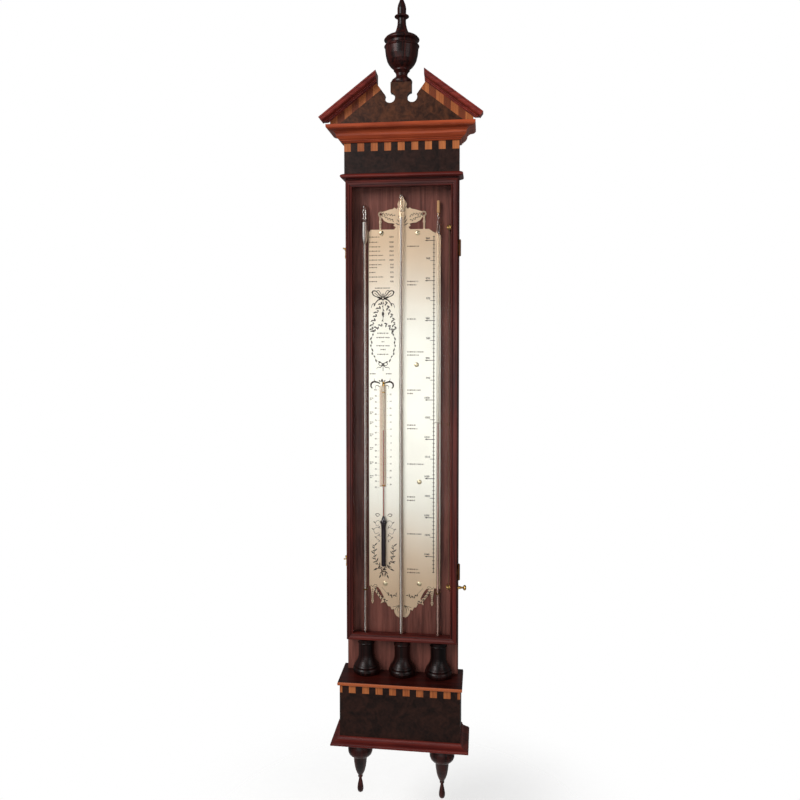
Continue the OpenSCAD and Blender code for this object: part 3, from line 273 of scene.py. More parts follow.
GRAIN = {"X": (0.045, 1.0, 1.0), "Y": (1.0, 0.045, 1.0), "Z": (1.0, 1.0, 0.045)}


def straight_wood(name, dark, light, along="Z", coat=0.3, rough=0.34, edge=None):
    """Polished wood with straight grain, pores and slow changes of colour along one axis."""
    wood = Shader(name)
    place = wood.place()
    lengthwise = wood.scaled(place, GRAIN[along])
    streaks = wood.noise(lengthwise, 95, 5, 0.6, 1.4).step(0.36, 0.66)
    fine = wood.noise(lengthwise, 620, 3, 0.6)
    pores = wood.noise(wood.scaled(lengthwise, tuple(0.5 if f < 1 else 1.0 for f in GRAIN[along])), 1500, 2, 0.6)
    clouds = wood.noise(place, 11, 2).step(0.35, 0.68)
    grain = streaks * 0.55 + fine.step(0.3, 0.7) * 0.2 + clouds * 0.25
    colour = wood.blend(grain, dark, light)
    flecks = pores.step(0.58, 0.7)
    deep = tuple(value * 0.35 for value in dark)
    colour = wood.blend(flecks * 0.55, colour, deep)
    if edge:
        colour = wood.blend(edge[0](wood, place), colour, edge[1])
    return wood.set(
        Base_Color=colour, Roughness=rough + (fine - 0.5) * 0.22 + flecks * 0.1,
        Normal=wood.bump(fine * 0.4 - flecks * 0.6, 0.00016, 0.45), Specular_IOR_Level=0.2,
        Coat_Weight=coat, Coat_Roughness=0.12)


def burr_wood(name, dark, light, coat=0.3):
    """Burr veneer: swirled figure with small dark eyes under clear polish."""
    wood = Shader(name)
    place = wood.place()
    swirl = wood.noise(place, 26, 4, 0.6, 2.4)
    curl = wood.noise(place, 130, 4, 0.62, 1.2)
    eyes = wood.node("ShaderNodeTexVoronoi", sockets={"Vector": place, "Scale": 120, "Randomness": 1.0})
    figure = swirl.step(0.34, 0.68) * 0.55 + curl.step(0.32, 0.7) * 0.45
    colour = wood.blend(figure, dark, light)
    spots = 1 - eyes.step(0.0008, 0.0026)
    colour = wood.blend(spots * 0.5, colour, tuple(value * 0.4 for value in dark))
    return wood.set(
        Base_Color=colour, Roughness=0.36 + (curl - 0.5) * 0.2,
        Normal=wood.bump(curl, 0.00012, 0.35), Specular_IOR_Level=0.2,
        Coat_Weight=coat, Coat_Roughness=0.12)


def stained_turning(name, dark, light, coat=0.3):
    """Near-black stained turning with faint grain up its length and lathe lines round it."""
    wood = Shader(name)
    place = wood.place()
    grain = wood.noise(wood.scaled(place, GRAIN["Z"]), 160, 4, 0.6, 0.8).step(0.35, 0.68)
    lathe = wood.noise(wood.scaled(place, (0.02, 0.02, 1.0)), 900, 2)
    return wood.set(
        Base_Color=wood.blend(grain * 0.8, dark, light), Roughness=0.36 + grain * 0.08,
        Normal=wood.bump(lathe, 0.00006, 0.3), Specular_IOR_Level=0.2,
        Coat_Weight=coat, Coat_Roughness=0.12)


def polished_metal(name, colour, rough=0.22, tarnish=0.35, brushed="X"):
    """Lacquered metal with fine brushing and a little tarnish in patches."""
    metal = Shader(name)
    place = metal.place()
    brush = metal.noise(metal.scaled(place, GRAIN[brushed]), 2400, 2, 0.6)
    patch = metal.noise(place, 140, 4, 0.6).step(0.48, 0.7)
    dull = tuple(value * 0.5 for value in colour)
    return metal.set(
        Base_Color=metal.blend(patch * tarnish, colour, dull), Metallic=1.0,
        Roughness=rough + (brush - 0.5) * 0.16 + patch * 0.12, Normal=metal.bump(brush, 0.00004, 0.35))


def scale_brass(metals):
    """The scale plate: brushed and lacquered brass, painted pale in the middle as a painted reflection of a bright
    room, and darker towards both ends.
    """
    plate = Shader("scale_plate_brass")
    place = plate.place()
    low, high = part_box("scale_plate")
    along = plate.axes(place)[2]
    middle = (low.z + high.z) / 2 - 0.008
    reach = (high.z - low.z) / 2
    ends = abs((along - middle) / reach)
    wander = plate.noise(place, 14, 2)
    # Painted reflection: pale in the middle of the plate, fading out towards both ends.
    painted_reflection_fade = (ends + (wander - 0.5) * 0.12).step(0.34, 0.86)
    brush = plate.noise(plate.scaled(place, (1.0, 1.0, 0.02)), 1700, 2, 0.6)
    spots = plate.noise(place, 420, 3, 0.6).step(0.66, 0.8)
    colour = plate.blend(painted_reflection_fade, tuple(metals.plate_middle), tuple(metals.plate_ends))
    colour = plate.blend(spots * 0.3, colour, tone(150, 118, 78))
    return plate.set(
        Base_Color=colour, Metallic=0.75, Roughness=metals.plate_rough + (brush - 0.5) * 0.14 + spots * 0.1,
        Normal=plate.bump(brush, 0.00003, 0.3), Coat_Weight=0.3, Coat_Roughness=0.25)


def wax(name, colour):
    """Black wax rubbed into engraved lines, worn thinner in places."""
    ink = Shader(name)
    worn = ink.noise(ink.place(), 900, 3, 0.6)
    pale = tuple(min(1.0, value * 1.8 + 0.02) for value in colour)
    return ink.set(Base_Color=ink.blend(worn.step(0.5, 0.75) * 0.5, colour, pale), Roughness=0.55 + worn * 0.2)


def clear_glass(name, colour, rough=0.0):
    """Drawn glass tube with very slight waves."""
    glass = Shader(name)
    waves = glass.noise(glass.scaled(glass.place(), GRAIN["Z"]), 60, 2)
    return glass.set(
        Base_Color=colour, Roughness=rough + waves * 0.03, Transmission_Weight=1.0, IOR=1.47)


def pane_glass(alpha):
    """The door's thin pane, nearly clear."""
    glass = Shader("door_pane_glass")
    smear = glass.noise(glass.place(), 24, 3).step(0.4, 0.7)
    return glass.set(
        Base_Color=tone(20, 20, 21), Roughness=0.03 + smear * 0.05, Alpha=alpha + smear * 0.012,
        Specular_IOR_Level=0.6)


def bright_mercury():
    """Mercury behind glass, with a painted reflection and painted highlight in its colour: upright stripes of
    white, dark and tan round the column, set by the way each side faces.
    """
    metal = Shader("mercury")
    ripple = metal.noise(metal.scaled(metal.place(), GRAIN["Z"]), 90, 2)
    facing = metal.axes(metal.node("ShaderNodeNewGeometry", out=1))[0]
    # Painted reflection and highlight: the colour follows the surface's facing, in place of the mercury mirroring
    # the room.
    painted_reflection_bands = metal.node("ShaderNodeValToRGB", {"stops": [
        (0.0, tone(120, 104, 112)), (0.2, tone(176, 162, 166)), (0.3, tone(255, 254, 252)),
        (0.5, tone(255, 252, 250)), (0.56, tone(80, 62, 66)), (0.63, tone(132, 106, 102)),
        (0.74, tone(226, 192, 176)), (1.0, tone(170, 138, 128))]},
        {"Fac": facing * 0.5 + 0.5})
    return metal.set(Base_Color=painted_reflection_bands, Metallic=0.15, Roughness=0.32 + ripple * 0.05)


def tinted_liquid(name, colour, clear=0.0):
    """Coloured liquid in a narrow bore."""
    liquid = Shader(name)
    drift = liquid.noise(liquid.place(), 40, 2)
    pale = tuple(min(1.0, value * 1.25 + 0.02) for value in colour)
    return liquid.set(
        Base_Color=liquid.blend(drift * 0.6, colour, pale), Roughness=0.12 + drift * 0.06,
        Transmission_Weight=clear)


def smooth_ivory(colour):
    """Ivory with fine lengthwise grain, a little yellowed."""
    ivory = Shader("ivory")
    grain = ivory.noise(ivory.scaled(ivory.place(), GRAIN["Z"]), 700, 4, 0.6)
    yellow = ivory.noise(ivory.place(), 60, 3).step(0.4, 0.7)
    aged = tuple(value * part for value, part in zip(colour, (0.92, 0.86, 0.74)))
    return ivory.set(
        Base_Color=ivory.blend(grain.step(0.35, 0.7) * 0.35 + yellow * 0.35, colour, aged),
        Roughness=0.38 + (grain - 0.5) * 0.1, Subsurface_Weight=0.06, Subsurface_Scale=0.001)


def glossy_guard(colour):
    """Dark glossy guard with a violet cast."""
    guard = Shader("guard_lacquer")
    cloud = guard.noise(guard.place(), 300, 3)
    violet = tuple(min(1.0, value * 1.9 + 0.01) for value in colour)
    return guard.set(
        Base_Color=guard.blend(cloud.step(0.4, 0.7) * 0.6, colour, violet), Roughness=0.16 + cloud * 0.08,
        Coat_Weight=0.9, Coat_Roughness=0.04)


def pressed_cork(colour):
    """Cork with dark grains and small pits."""
    cork = Shader("cork")
    place = cork.place()
    grains = cork.node("ShaderNodeTexVoronoi", sockets={"Vector": place, "Scale": 900})
    pits = cork.noise(place, 700, 3).step(0.56, 0.68)
    dark = tuple(value * 0.4 for value in colour)
    return cork.set(
        Base_Color=cork.blend(pits * 0.7, colour, dark), Roughness=0.8 + (grains - 0.5) * 0.1,
        Normal=cork.bump(grains - pits, 0.0002, 0.6))


def twisted_cord():
    """Fine twisted silk cord, its colour painted darker in the grooves between strands as painted shade."""
    cord = Shader("cord_silk")
    x, y, z = cord.axes(cord.place())
    twist = cord.node("ShaderNodeMath", {"operation": "SINE"}, {0: (z + (x + y) * 2.0) * 9000})
    lay = twist.step(-1.0, 1.0)
    # Painted shade: the colour follows the twist's ridges, darker in the grooves.
    return cord.set(
        Base_Color=cord.blend(lay, tone(96, 68, 50), tone(150, 116, 86)), Roughness=0.75 + lay * 0.1,
        Normal=cord.bump(lay, 0.00005, 0.5))


def grains(woods, wood):
    """A wood's dark and light grain."""
    return tuple(getattr(woods, wood + "_dark")), tuple(getattr(woods, wood + "_light"))


def darker(pair, shade):
    """The same two grains, darker."""
    return tuple(tuple(value * shade for value in grain) for grain in pair)


def finish(material, *nodes):
    """Gives every face of the named nodes one finish."""
    for node in nodes:
        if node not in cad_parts:
            raise RuntimeError(f"the packed model has no node {node}")
        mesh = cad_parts[node].data
        mesh.materials.clear()
        mesh.materials.append(material)


def smooth(degrees, *nodes):
    """Shades turned and round nodes smoothly, and keeps their sharp edges."""
    for node in nodes:
        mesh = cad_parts[node].data
        mesh.shade_smooth()
        mesh.set_sharp_from_angle(angle=math.radians(degrees))


class Graver:
    """Cuts flat shapes, given in millimetres across and up, into one thin layer on a face that looks forward."""

    def __init__(self, front):
        self.front = front
        self.points = []
        self.faces = []

    def shape(self, outline):
        """One filled outline, drawn anticlockwise."""
        first = len(self.points)
        self.points += [(x * MM, self.front, z * MM) for x, z in outline]
        self.faces.append(range(first, len(self.points)))

    def line(self, start, end, width):
        self.stroke([start, end], width)

    def stroke(self, route, width, taper=None):
        """A band along a route. A taper gives the share of the width at each place from 0 to 1."""
        left, right = [], []
        last = len(route) - 1
        for i, (x, z) in enumerate(route):
            before = route[max(i - 1, 0)]
            after = route[min(i + 1, last)]
            run = math.hypot(after[0] - before[0], after[1] - before[1]) or 1.0
            half = width / 2 * (taper(i / last) if taper else 1.0)
            dx, dz = (after[1] - before[1]) / run * half, (before[0] - after[0]) / run * half
            left.append((x - dx, z - dz))
            right.append((x + dx, z + dz))
        for i in range(last):
            self.shape([right[i], right[i + 1], left[i + 1], left[i]])

    def disc(self, x, z, radius, sides=12):
        turns = [math.tau * i / sides for i in range(sides)]
        self.shape([(x + radius * math.cos(turn), z + radius * math.sin(turn)) for turn in turns])

    def ring(self, x, z, radius, width, sides=28):
        turns = [math.tau * i / sides for i in range(sides + 1)]
        self.stroke([(x + radius * math.cos(turn), z + radius * math.sin(turn)) for turn in turns], width)

    def leaf(self, x, z, degrees, length, width, steps=5):
        """A pointed leaf that starts at a point and grows in a direction."""
        turn = math.radians(degrees)
        ahead = (math.cos(turn), math.sin(turn))
        side = (-math.sin(turn), math.cos(turn))
        def at(share_, sign):
            run, half = length * share_, sign * width / 2 * math.sin(math.pi * share_ ** 0.8)
            return (x + ahead[0] * run + side[0] * half, z + ahead[1] * run + side[1] * half)
        shares = [i / steps for i in range(steps + 1)]
        self.shape([at(s, -1) for s in shares] + [at(s, 1) for s in reversed(shares[1:-1])])

    def chain(self, route, spacing, length, width, spread=34, berries=True):
        """Leaves in pairs along a route, pointing back along it, with berries between them."""
        travelled = spacing / 2
        for (x0, z0), (x1, z1) in zip(route, route[1:]):
            run = math.hypot(x1 - x0, z1 - z0)
            heading = math.degrees(math.atan2(z1 - z0, x1 - x0))
            while travelled < run:
                x, z = x0 + (x1 - x0) * travelled / run, z0 + (z1 - z0) * travelled / run
                for sign in (-1, 1):
                    self.leaf(x, z, heading + sign * spread, length, width)
                if berries:
                    half = spacing / run * 0.5
                    self.disc(x + (x1 - x0) * half, z + (z1 - z0) * half, width * 0.24, 8)
                travelled += spacing
            travelled -= run

    def dashes(self, x, z, length, height, gap=0.75):
        """A ruled row broken into short dashes of uneven length."""
        place, turn = 0.0, 0
        while place < length:
            run = min((1.7, 1.1, 2.2, 1.4, 0.9)[turn % 5], length - place)
            self.line((x + place, z), (x + place + run, z), height * (1.0, 0.8, 1.1)[turn % 3])
            place += run + (gap * 2.4 if turn % 6 == 5 else gap)
            turn += 1

    def trail(self, route, spacing, length, width, spread=24, berries=True):
        """Single leaves to the left and right of a route in turn, with berries at some of them."""
        travelled, sign, count = spacing / 2, 1, 0
        for (x0, z0), (x1, z1) in zip(route, route[1:]):
            run = math.hypot(x1 - x0, z1 - z0)
            heading = math.degrees(math.atan2(z1 - z0, x1 - x0))
            while travelled < run:
                x, z = x0 + (x1 - x0) * travelled / run, z0 + (z1 - z0) * travelled / run
                self.leaf(x, z, heading + sign * spread, length * (1.0, 0.75, 1.15)[count % 3], width)
                if berries and count % 2:
                    self.leaf(x, z, heading - sign * spread * 1.4, length * 0.5, width * 0.9)
                travelled += spacing
                sign, count = -sign, count + 1
            travelled -= run

    def numbers(self, text, x, z, height, align="RIGHT"):
        """Plain figures with their foot at a height."""
        curve = bpy.data.curves.new("figures", "FONT")
        curve.body = text
        curve.size = height
        curve.align_x = align
        curve.resolution_u = 2
        curve.offset = height * 0.03
        holder = bpy.data.objects.new("figures", curve)
        bpy.context.collection.objects.link(holder)
        mesh = bpy.data.meshes.new_from_object(holder.evaluated_get(bpy.context.evaluated_depsgraph_get()))
        first = len(self.points)
        self.points += [((x + v.co.x) * MM, self.front, (z + v.co.y) * MM) for v in mesh.vertices]
        self.faces += [[first + i for i in polygon.vertices] for polygon in mesh.polygons]
        bpy.data.objects.remove(holder)
        bpy.data.meshes.remove(mesh)
        bpy.data.curves.remove(curve)

    def finished(self, name, material, body="case", slot=None):
        """The layer as a piece that rides on a body."""
        mesh = bpy.data.meshes.new(name)
        mesh.from_pydata(self.points, [], [list(face) for face in self.faces])
        mesh.validate()
        mesh.update()
        return piece(name, mesh, material, body)


def piece(name, mesh, material, body="case"):
    """Puts a mesh into the scene as a piece of the barometer."""
    made = bpy.data.objects.new(name, mesh)
    bpy.context.collection.objects.link(made)
    mesh.materials.clear()
    mesh.materials.append(material)
    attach(made, body)
    return made


def curve_through(points, steps=8):
    """A smooth route through a few points."""
    ends = [points[0], *points, points[-1]]
    route = []
    for i in range(1, len(ends) - 2):
        p0, p1, p2, p3 = (Vector(p) for p in ends[i - 1:i + 3])
        for k in range(steps):
            t = k / steps
            spot = 0.5 * (2 * p1 + (p2 - p0) * t + (2 * p0 - 5 * p1 + 4 * p2 - p3) * t * t
                          + (3 * p1 - p0 - 3 * p2 + p3) * t ** 3)
            route.append(tuple(spot))
    route.append(tuple(points[-1]))
    return route


def mirrored(points, middle):
    return [(2 * middle - x, z) for x, z in points]


def plate_front(node="scale_plate"):
    """Where a layer of engraving lies on the front of a plate."""
    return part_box(node)[0].y - ENGRAVING_PROUD


class BarometerTask(Operator):
    """Common settings of the barometer's operators."""

    bl_options = {"REGISTER", "UNDO"}


class BAROMETER_OT_case(BarometerTask):
    """Polish the mahogany of the case, door, cornices, shelf and plinth."""

    bl_idname = "barometer.case"
    bl_label = "Polish the case"

    shelf_shade = 0.42
    low_moulding_shade = 0.68
    lip_depth = 0.6 * MM

    def execute(self, context):
        woods = context.scene.barometer_woods
        coat = woods.coat
        panel, door = grains(woods, "panel"), grains(woods, "frame")
        cornice, raking = grains(woods, "cornice"), grains(woods, "raking")
        upright = straight_wood("mahogany_upright", *door, "Z", coat)
        level = straight_wood("mahogany_level", *door, "X", coat)
        finish(straight_wood("mahogany_panel", *panel, "Z", coat * 0.6, 0.4), "back_board")
        finish(upright, "case_side_left", "case_side_right", "door_stile_left", "door_stile_right",
               "glazing_beads")
        finish(level, "door_rail_top", "door_rail_bottom", "case_top_board", "case_bottom_board", "box_floor")
        finish(straight_wood("mahogany_cornice", *cornice, "X", coat), "cornice")
        finish(straight_wood("mahogany_raking", *raking, "X", coat), "raking_cornices")
        lip_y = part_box("shelf_board")[0].y + self.lip_depth
        soft_edge = 0.1 * MM

        def lipping(wood, place):
            return 1 - wood.axes(place)[1].step(lip_y - soft_edge, lip_y + soft_edge)

        shelf = darker(door, self.shelf_shade)
        low = darker(raking, self.low_moulding_shade)
        lip = (lipping, tone(168, 86, 46))
        finish(straight_wood("mahogany_shelf", *shelf, "X", coat, edge=lip), "shelf_board")
        finish(straight_wood("mahogany_low_moulding", *low, "X", coat), "torus_moulding", "plinth_moulding")
        smooth(28, "torus_moulding", "plinth_moulding", "cornice", "raking_cornices", "door_stile_left",
               "door_stile_right", "door_rail_top", "door_rail_bottom", "shelf_board")
        return {"FINISHED"}


class BAROMETER_OT_veneers(BarometerTask):
    """Lay the burr veneers and the light and red inlays."""

    bl_idname = "barometer.veneers"
    bl_label = "Lay the veneers"

    def execute(self, context):
        woods = context.scene.barometer_woods
        coat = woods.coat
        finish(burr_wood("burr_pediment", *grains(woods, "veneer"), coat), "tympanum")
        finish(burr_wood("burr_frieze", *grains(woods, "frieze"), coat), "frieze_board", "box_front", "box_sides")
        light = straight_wood("satinwood_inlay", *grains(woods, "inlay"), "Z", coat, 0.4)
        finish(light, "frieze_inlay", "box_inlay", "pediment_inlay_light")
        finish(straight_wood("red_inlay", *grains(woods, "red"), "Z", coat, 0.4), "pediment_inlay_red")
        return {"FINISHED"}


class BAROMETER_OT_turnings(BarometerTask):
    """Stain and polish the finial, the balusters and the pendants."""

    bl_idname = "barometer.turnings"
    bl_label = "Polish the turnings"

    baluster_shade = 0.35

    def execute(self, context):
        woods = context.scene.barometer_woods
        ebony, coat = grains(woods, "ebony"), woods.coat * 0.5
        finish(stained_turning("stained_turning", *ebony, coat), "finial", "pendants")
        deep = darker(ebony, self.baluster_shade)
        finish(stained_turning("stained_balusters", *deep, coat), "balusters")
        smooth(32, "finial", "balusters", "pendants")
        return {"FINISHED"}


class BAROMETER_OT_pressure_scale(BarometerTask):
    """Engrave the pressure scale with its arrows, ticks, figures and ruled lines."""

    bl_idname = "barometer.pressure_scale"
    bl_label = "Engrave the pressure scale"

    rule_x = 49.4
    tick_left = 47.7
    tick_right = 51.1
    arrow_x = 35.2
    half_x = 43.6
    label_x = 7.8
    label_rows = ((-136.6, 18), (-191.4, 17), (-196.7, 15), (-250.3, 14), (-301.9, 26), (-307.0, 18), (-362.3, 21),
                  (-367.7, 9), (-417.8, 14), (-423.4, 16), (-479.8, 26), (-532.3, 12), (-537.9, 12), (-591.7, 23),
                  (-648.6, 17), (-654.0, 20))

    def execute(self, context):
        scale = context.scene.barometer_scale
        metals = context.scene.barometer_metals
        line, hair = scale.line / MM, scale.hair / MM
        top, foot = scale.scale_top / MM, scale.scale_foot / MM
        first, step = scale.first_arrow / MM, scale.arrow_step / MM
        dark = Graver(plate_front())
        dark.line((self.rule_x, top), (self.rule_x, foot), line)
        ticks = int((first - foot) / (step / 10))
        for tick in range(-1, ticks + 1):
            z = first - tick * step / 10
            dark.line((self.tick_left, z), (self.tick_right, z), line)
        figures = scale.number_height / MM
        for row in range(scale.arrow_count):
            z = first - row * step
            dark.line((self.arrow_x + 1.5, z), (self.tick_right, z), line)
            dark.shape([(self.arrow_x, z), (self.arrow_x + 4.0, z - 1.35), (self.arrow_x + 4.0, z + 1.35)])
            dark.numbers(str(scale.first_number + 10 * row), self.half_x - 0.6, z + 2.0, figures)
            if row < scale.arrow_count - 1:
                dark.line((self.half_x, z - step / 2), (self.tick_right, z - step / 2), hair)
                half = str(scale.first_number + 10 * row + 5)
                dark.numbers(half, self.half_x + 0.2, z - step / 2 + 2.0, figures)
        dark.finished("pressure_scale", wax("scale_wax", tuple(metals.engraving)), slot="engraved_brass")
        soft = Graver(plate_front())
        for z, length in self.label_rows:
            soft.dashes(self.label_x, z, length, 1.9)
        soft.finished("ruled_lines", wax("ruled_wax", tuple(metals.engraving_soft)), slot="engraved_brass")
        return {"FINISHED"}


class BAROMETER_OT_table(BarometerTask):
    """Engrave the table of figures at the upper left and the ruled lines under it."""

    bl_idname = "barometer.table"
    bl_label = "Engrave the table"

    left_x = -53.0
    figure_x = -13.9
    rows = ((-121.4, 16), (-129.5, 14), (-136.7, 18), (-143.5, 17), (-150.2, 22), (-157.4, 25), (-164.7, 19),
            (-169.2, 13), (-176.8, 10), (-184.0, 22), (-191.2, 12))
    rules = ((-43.5, -19.7, -201.5), (-51.8, -42.1, -336.9), (-26.2, -16.6, -336.8))

    def execute(self, context):
        metals = context.scene.barometer_metals
        soft = wax("table_wax", tuple(metals.engraving_soft))
        table = Graver(plate_front())
        for row, (z, length) in enumerate(self.rows):
            table.dashes(self.left_x + 0.6, z, length, 1.5, 0.6)
            table.numbers(str(1050 - 10 * row), self.figure_x, z - 1.3, 3.6)
        for start, end, z in self.rules:
            table.dashes(start, z, end - start, 1.5, 0.5)
        table.finished("figure_table", soft, slot="engraved_brass")
        return {"FINISHED"}


class BAROMETER_OT_ornament(BarometerTask):
    """Engrave the bow, the garlands, the wreath, the scrolls and the laurel sprays."""

    bl_idname = "barometer.ornament"
    bl_label = "Engrave the ornament"

    middle = -30.8
    thermometer = -32.4
    guard = -29.8

    def bow(self, graver):
        m = self.middle
        loop = [(m - 0.8, -217), (m - 6, -211.5), (m - 11.5, -206.2), (m - 16.6, -206.8), (m - 15.4, -212.2),
                (m - 9, -215.6), (m - 0.8, -217.4)]
        inner = [(m - 1, -216), (m - 4, -209.5), (m - 6.8, -205.4),
                 (m - 9.4, -206.2), (m - 7.6, -210.4), (m - 1.4, -216.6)]
        tail = [(m - 1, -218), (m - 8, -220.5), (m - 12.5, -225.5), (m - 16.8, -227), (m - 18.4, -232.6)]
        crease = [(m - 13.5, -209), (m - 11, -211.2), (m - 7.5, -213.6)]
        for side in (lambda points: points, lambda points: mirrored(points, m)):
            graver.stroke(curve_through(side(loop)), 1.5, lambda t: 0.45 + 0.75 * math.sin(math.pi * t))
            graver.stroke(curve_through(side(inner)), 0.9)
            graver.stroke(curve_through(side(tail)), 1.7, lambda t: 1.25 - 0.9 * t)
            graver.stroke(curve_through(side(crease)), 0.9)
            graver.leaf(*side([(m - 2.0, -218.0)])[0], 160 if side([(0, 0)])[0][0] == 0 else 20, 9.5, 3.4)
            graver.leaf(*side([(m - 12.5, -225.5)])[0], 250 if side([(0, 0)])[0][0] == 0 else -70, 5.5, 2.2)
            graver.leaf(*side([(m - 15.4, -207.2)])[0], 200 if side([(0, 0)])[0][0] == 0 else -20, 3.6, 2.0)
        graver.ring(m, -217.6, 2.3, 1.8, 14)
        graver.leaf(m, -214.6, 90, 5.5, 2.2)

    def garlands(self, graver):
        m = self.middle
        outer = [(m - 2.5, -221), (m - 7, -232), (m - 12.5, -244), (m - 16.5, -256), (m - 19, -268)]
        inner = [(m - 0.5, -256), (m - 6, -261), (m - 11, -264), (m - 16.5, -271)]
        for points in (outer, inner):
            for route in (curve_through(points), curve_through(mirrored(points, m))):
                graver.trail(route, 3.5, 5.4, 2.3, 42)
        drop = curve_through([(m, -221), (m, -238), (m, -255)])
        graver.stroke(drop, 0.7)
        graver.trail(drop, 5.4, 3.6, 1.6, 30, berries=False)
        graver.leaf(m, -238, 270, 9.5, 3.8)

    def wreath(self, graver):
        m, middle_z, half_width, half_height = self.middle, -289.3, 18.9, 31.0
        for side in (-1, 1):
            turns = [math.radians(52 - i * 4.4) for i in range(32)]
            route = [(m + side * half_width * math.cos(t), middle_z + half_height * math.sin(t)) for t in turns]
            graver.trail(route, 6.0, 5.6, 2.2, 14 if side > 0 else -20, berries=False)
            graver.stroke(route, 0.3)
        for sign in (-1, 1):
            graver.stroke(curve_through([(m, -321.5), (m + sign * 4, -319), (m + sign * 7.2, -321),
                                         (m + sign * 4.6, -323.6), (m, -322)]), 1.0)
            graver.stroke(curve_through([(m, -322), (m + sign * 4, -326.5), (m + sign * 8.5, -326.5),
                                         (m + sign * 10.5, -329.6)]), 1.2, lambda t: 1.3 - t)
        graver.line((m, -322), (m, -332.5), 0.9)

    def scrolls(self, graver):
        m = self.thermometer
        for sign in (-1, 1):
            arm = [(m + sign * 3.2, -352.2), (m + sign * 8, -350.2), (m + sign * 13.2, -349.6),
                   (m + sign * 17.2, -352.4),
                   (m + sign * 17.6, -357.2), (m + sign * 15.4, -360.0)]
            horn = [(m + sign * 9, -350.4), (m + sign * 12.4, -347.4), (m + sign * 12.6, -343.6)]
            curl = [(m + sign * 4.2, -357.4), (m + sign * 7.6, -355.2), (m + sign * 10.6, -357.0),
                    (m + sign * 10.2, -360.4)]
            graver.stroke(curve_through(arm), 2.5, lambda t: 0.35 + 0.75 * math.sin(math.pi * (0.12 + 0.8 * t)))
            graver.stroke(curve_through(horn), 1.5, lambda t: 1.1 - t)
            graver.stroke(curve_through(curl), 1.2, lambda t: 1.1 - 0.8 * t)
            graver.leaf(m + sign * 2.2, -349.6, 90 - sign * 50, 4.6, 2.0)
        graver.leaf(m, -350.4, 90, 6.0, 3.4)

    def sprays(self, graver):
        m = self.guard
        for sign in (-1, 1):
            stem = curve_through([(m - sign * 6.5, -662), (m, -650.5), (m + sign * 9, -643),
                                  (m + sign * 14.5, -631),
                                  (m + sign * 15.6, -612)])
            graver.stroke(stem, 0.6)
            graver.trail(stem[4:], 4.4, 6.6, 1.9, 48)
            for start, degrees, length, width in (((-4.5, -659), -28, 7.5, 2.2), ((2.5, -655), -8, 8, 2.2),
                                                  ((10, -649), 62, 8, 2.6), ((6, -645), 38, 7, 1.8),
                                                  ((12, -638), 70, 6.5, 1.7), ((-1, -652), -44, 9, 1.6)):
                graver.leaf(m + sign * start[0], start[1], 270 + sign * degrees, length, width)

    def foliage(self, graver):
        m = self.guard
        for sign in (-1, 1):
            for top, reach, drop in ((-574, 13.5, 6.5), (-585, 16.0, 8.0), (-598, 12.0, 5.0)):
                curl = curve_through([(m + sign * 5.6, top), (m + sign * 9, top + 2.4),
                                      (m + sign * reach, top - 1.0),
                                      (m + sign * (reach - 2), top - drop), (m + sign * 8, top - drop + 1.6)])
                graver.stroke(curl, 0.55)
                graver.leaf(m + sign * reach, top - 2, 90 - sign * (40 + 2 * drop), 3.2 + drop * 0.2, 1.6)
                graver.leaf(m + sign * 7, top - drop, 270 + sign * 20, 4.2, 1.5)
            graver.stroke(curve_through([(m + sign * 6, -563.6), (m + sign * 9, -560.8), (m + sign * 13, -561.6),
                                         (m + sign * 11, -565), (m + sign * 8, -564.2)]), 1.1)

    def execute(self, context):
        metals = context.scene.barometer_metals
        dark = wax("ornament_wax", tuple(metals.engraving))
        soft = wax("foliage_wax", tuple(metals.engraving_soft))
        for name, parts, material in (
            ("bow_and_garlands", (self.bow, self.garlands), dark),
            ("leaf_wreath", (self.wreath,), dark),
            ("thermometer_scrolls", (self.scrolls,), dark),
            ("laurel_sprays", (self.sprays,), dark),
            ("guard_foliage", (self.foliage,), soft),
        ):
            graver = Graver(plate_front())
            for part in parts:
                part(graver)
            graver.finished(name, material, slot="engraved_brass")
        rules = Graver(plate_front())
        for z, half in ((-272.6, 9), (-279.4, 10.5), (-286, 2.2), (-292.4, 10.5), (-298.4, 4), (-306, 9)):
            rules.dashes(self.middle - half, z, 2 * half, 1.6, 0.6)
        rules.finished("wreath_rules", soft, slot="engraved_brass")
        return {"FINISHED"}


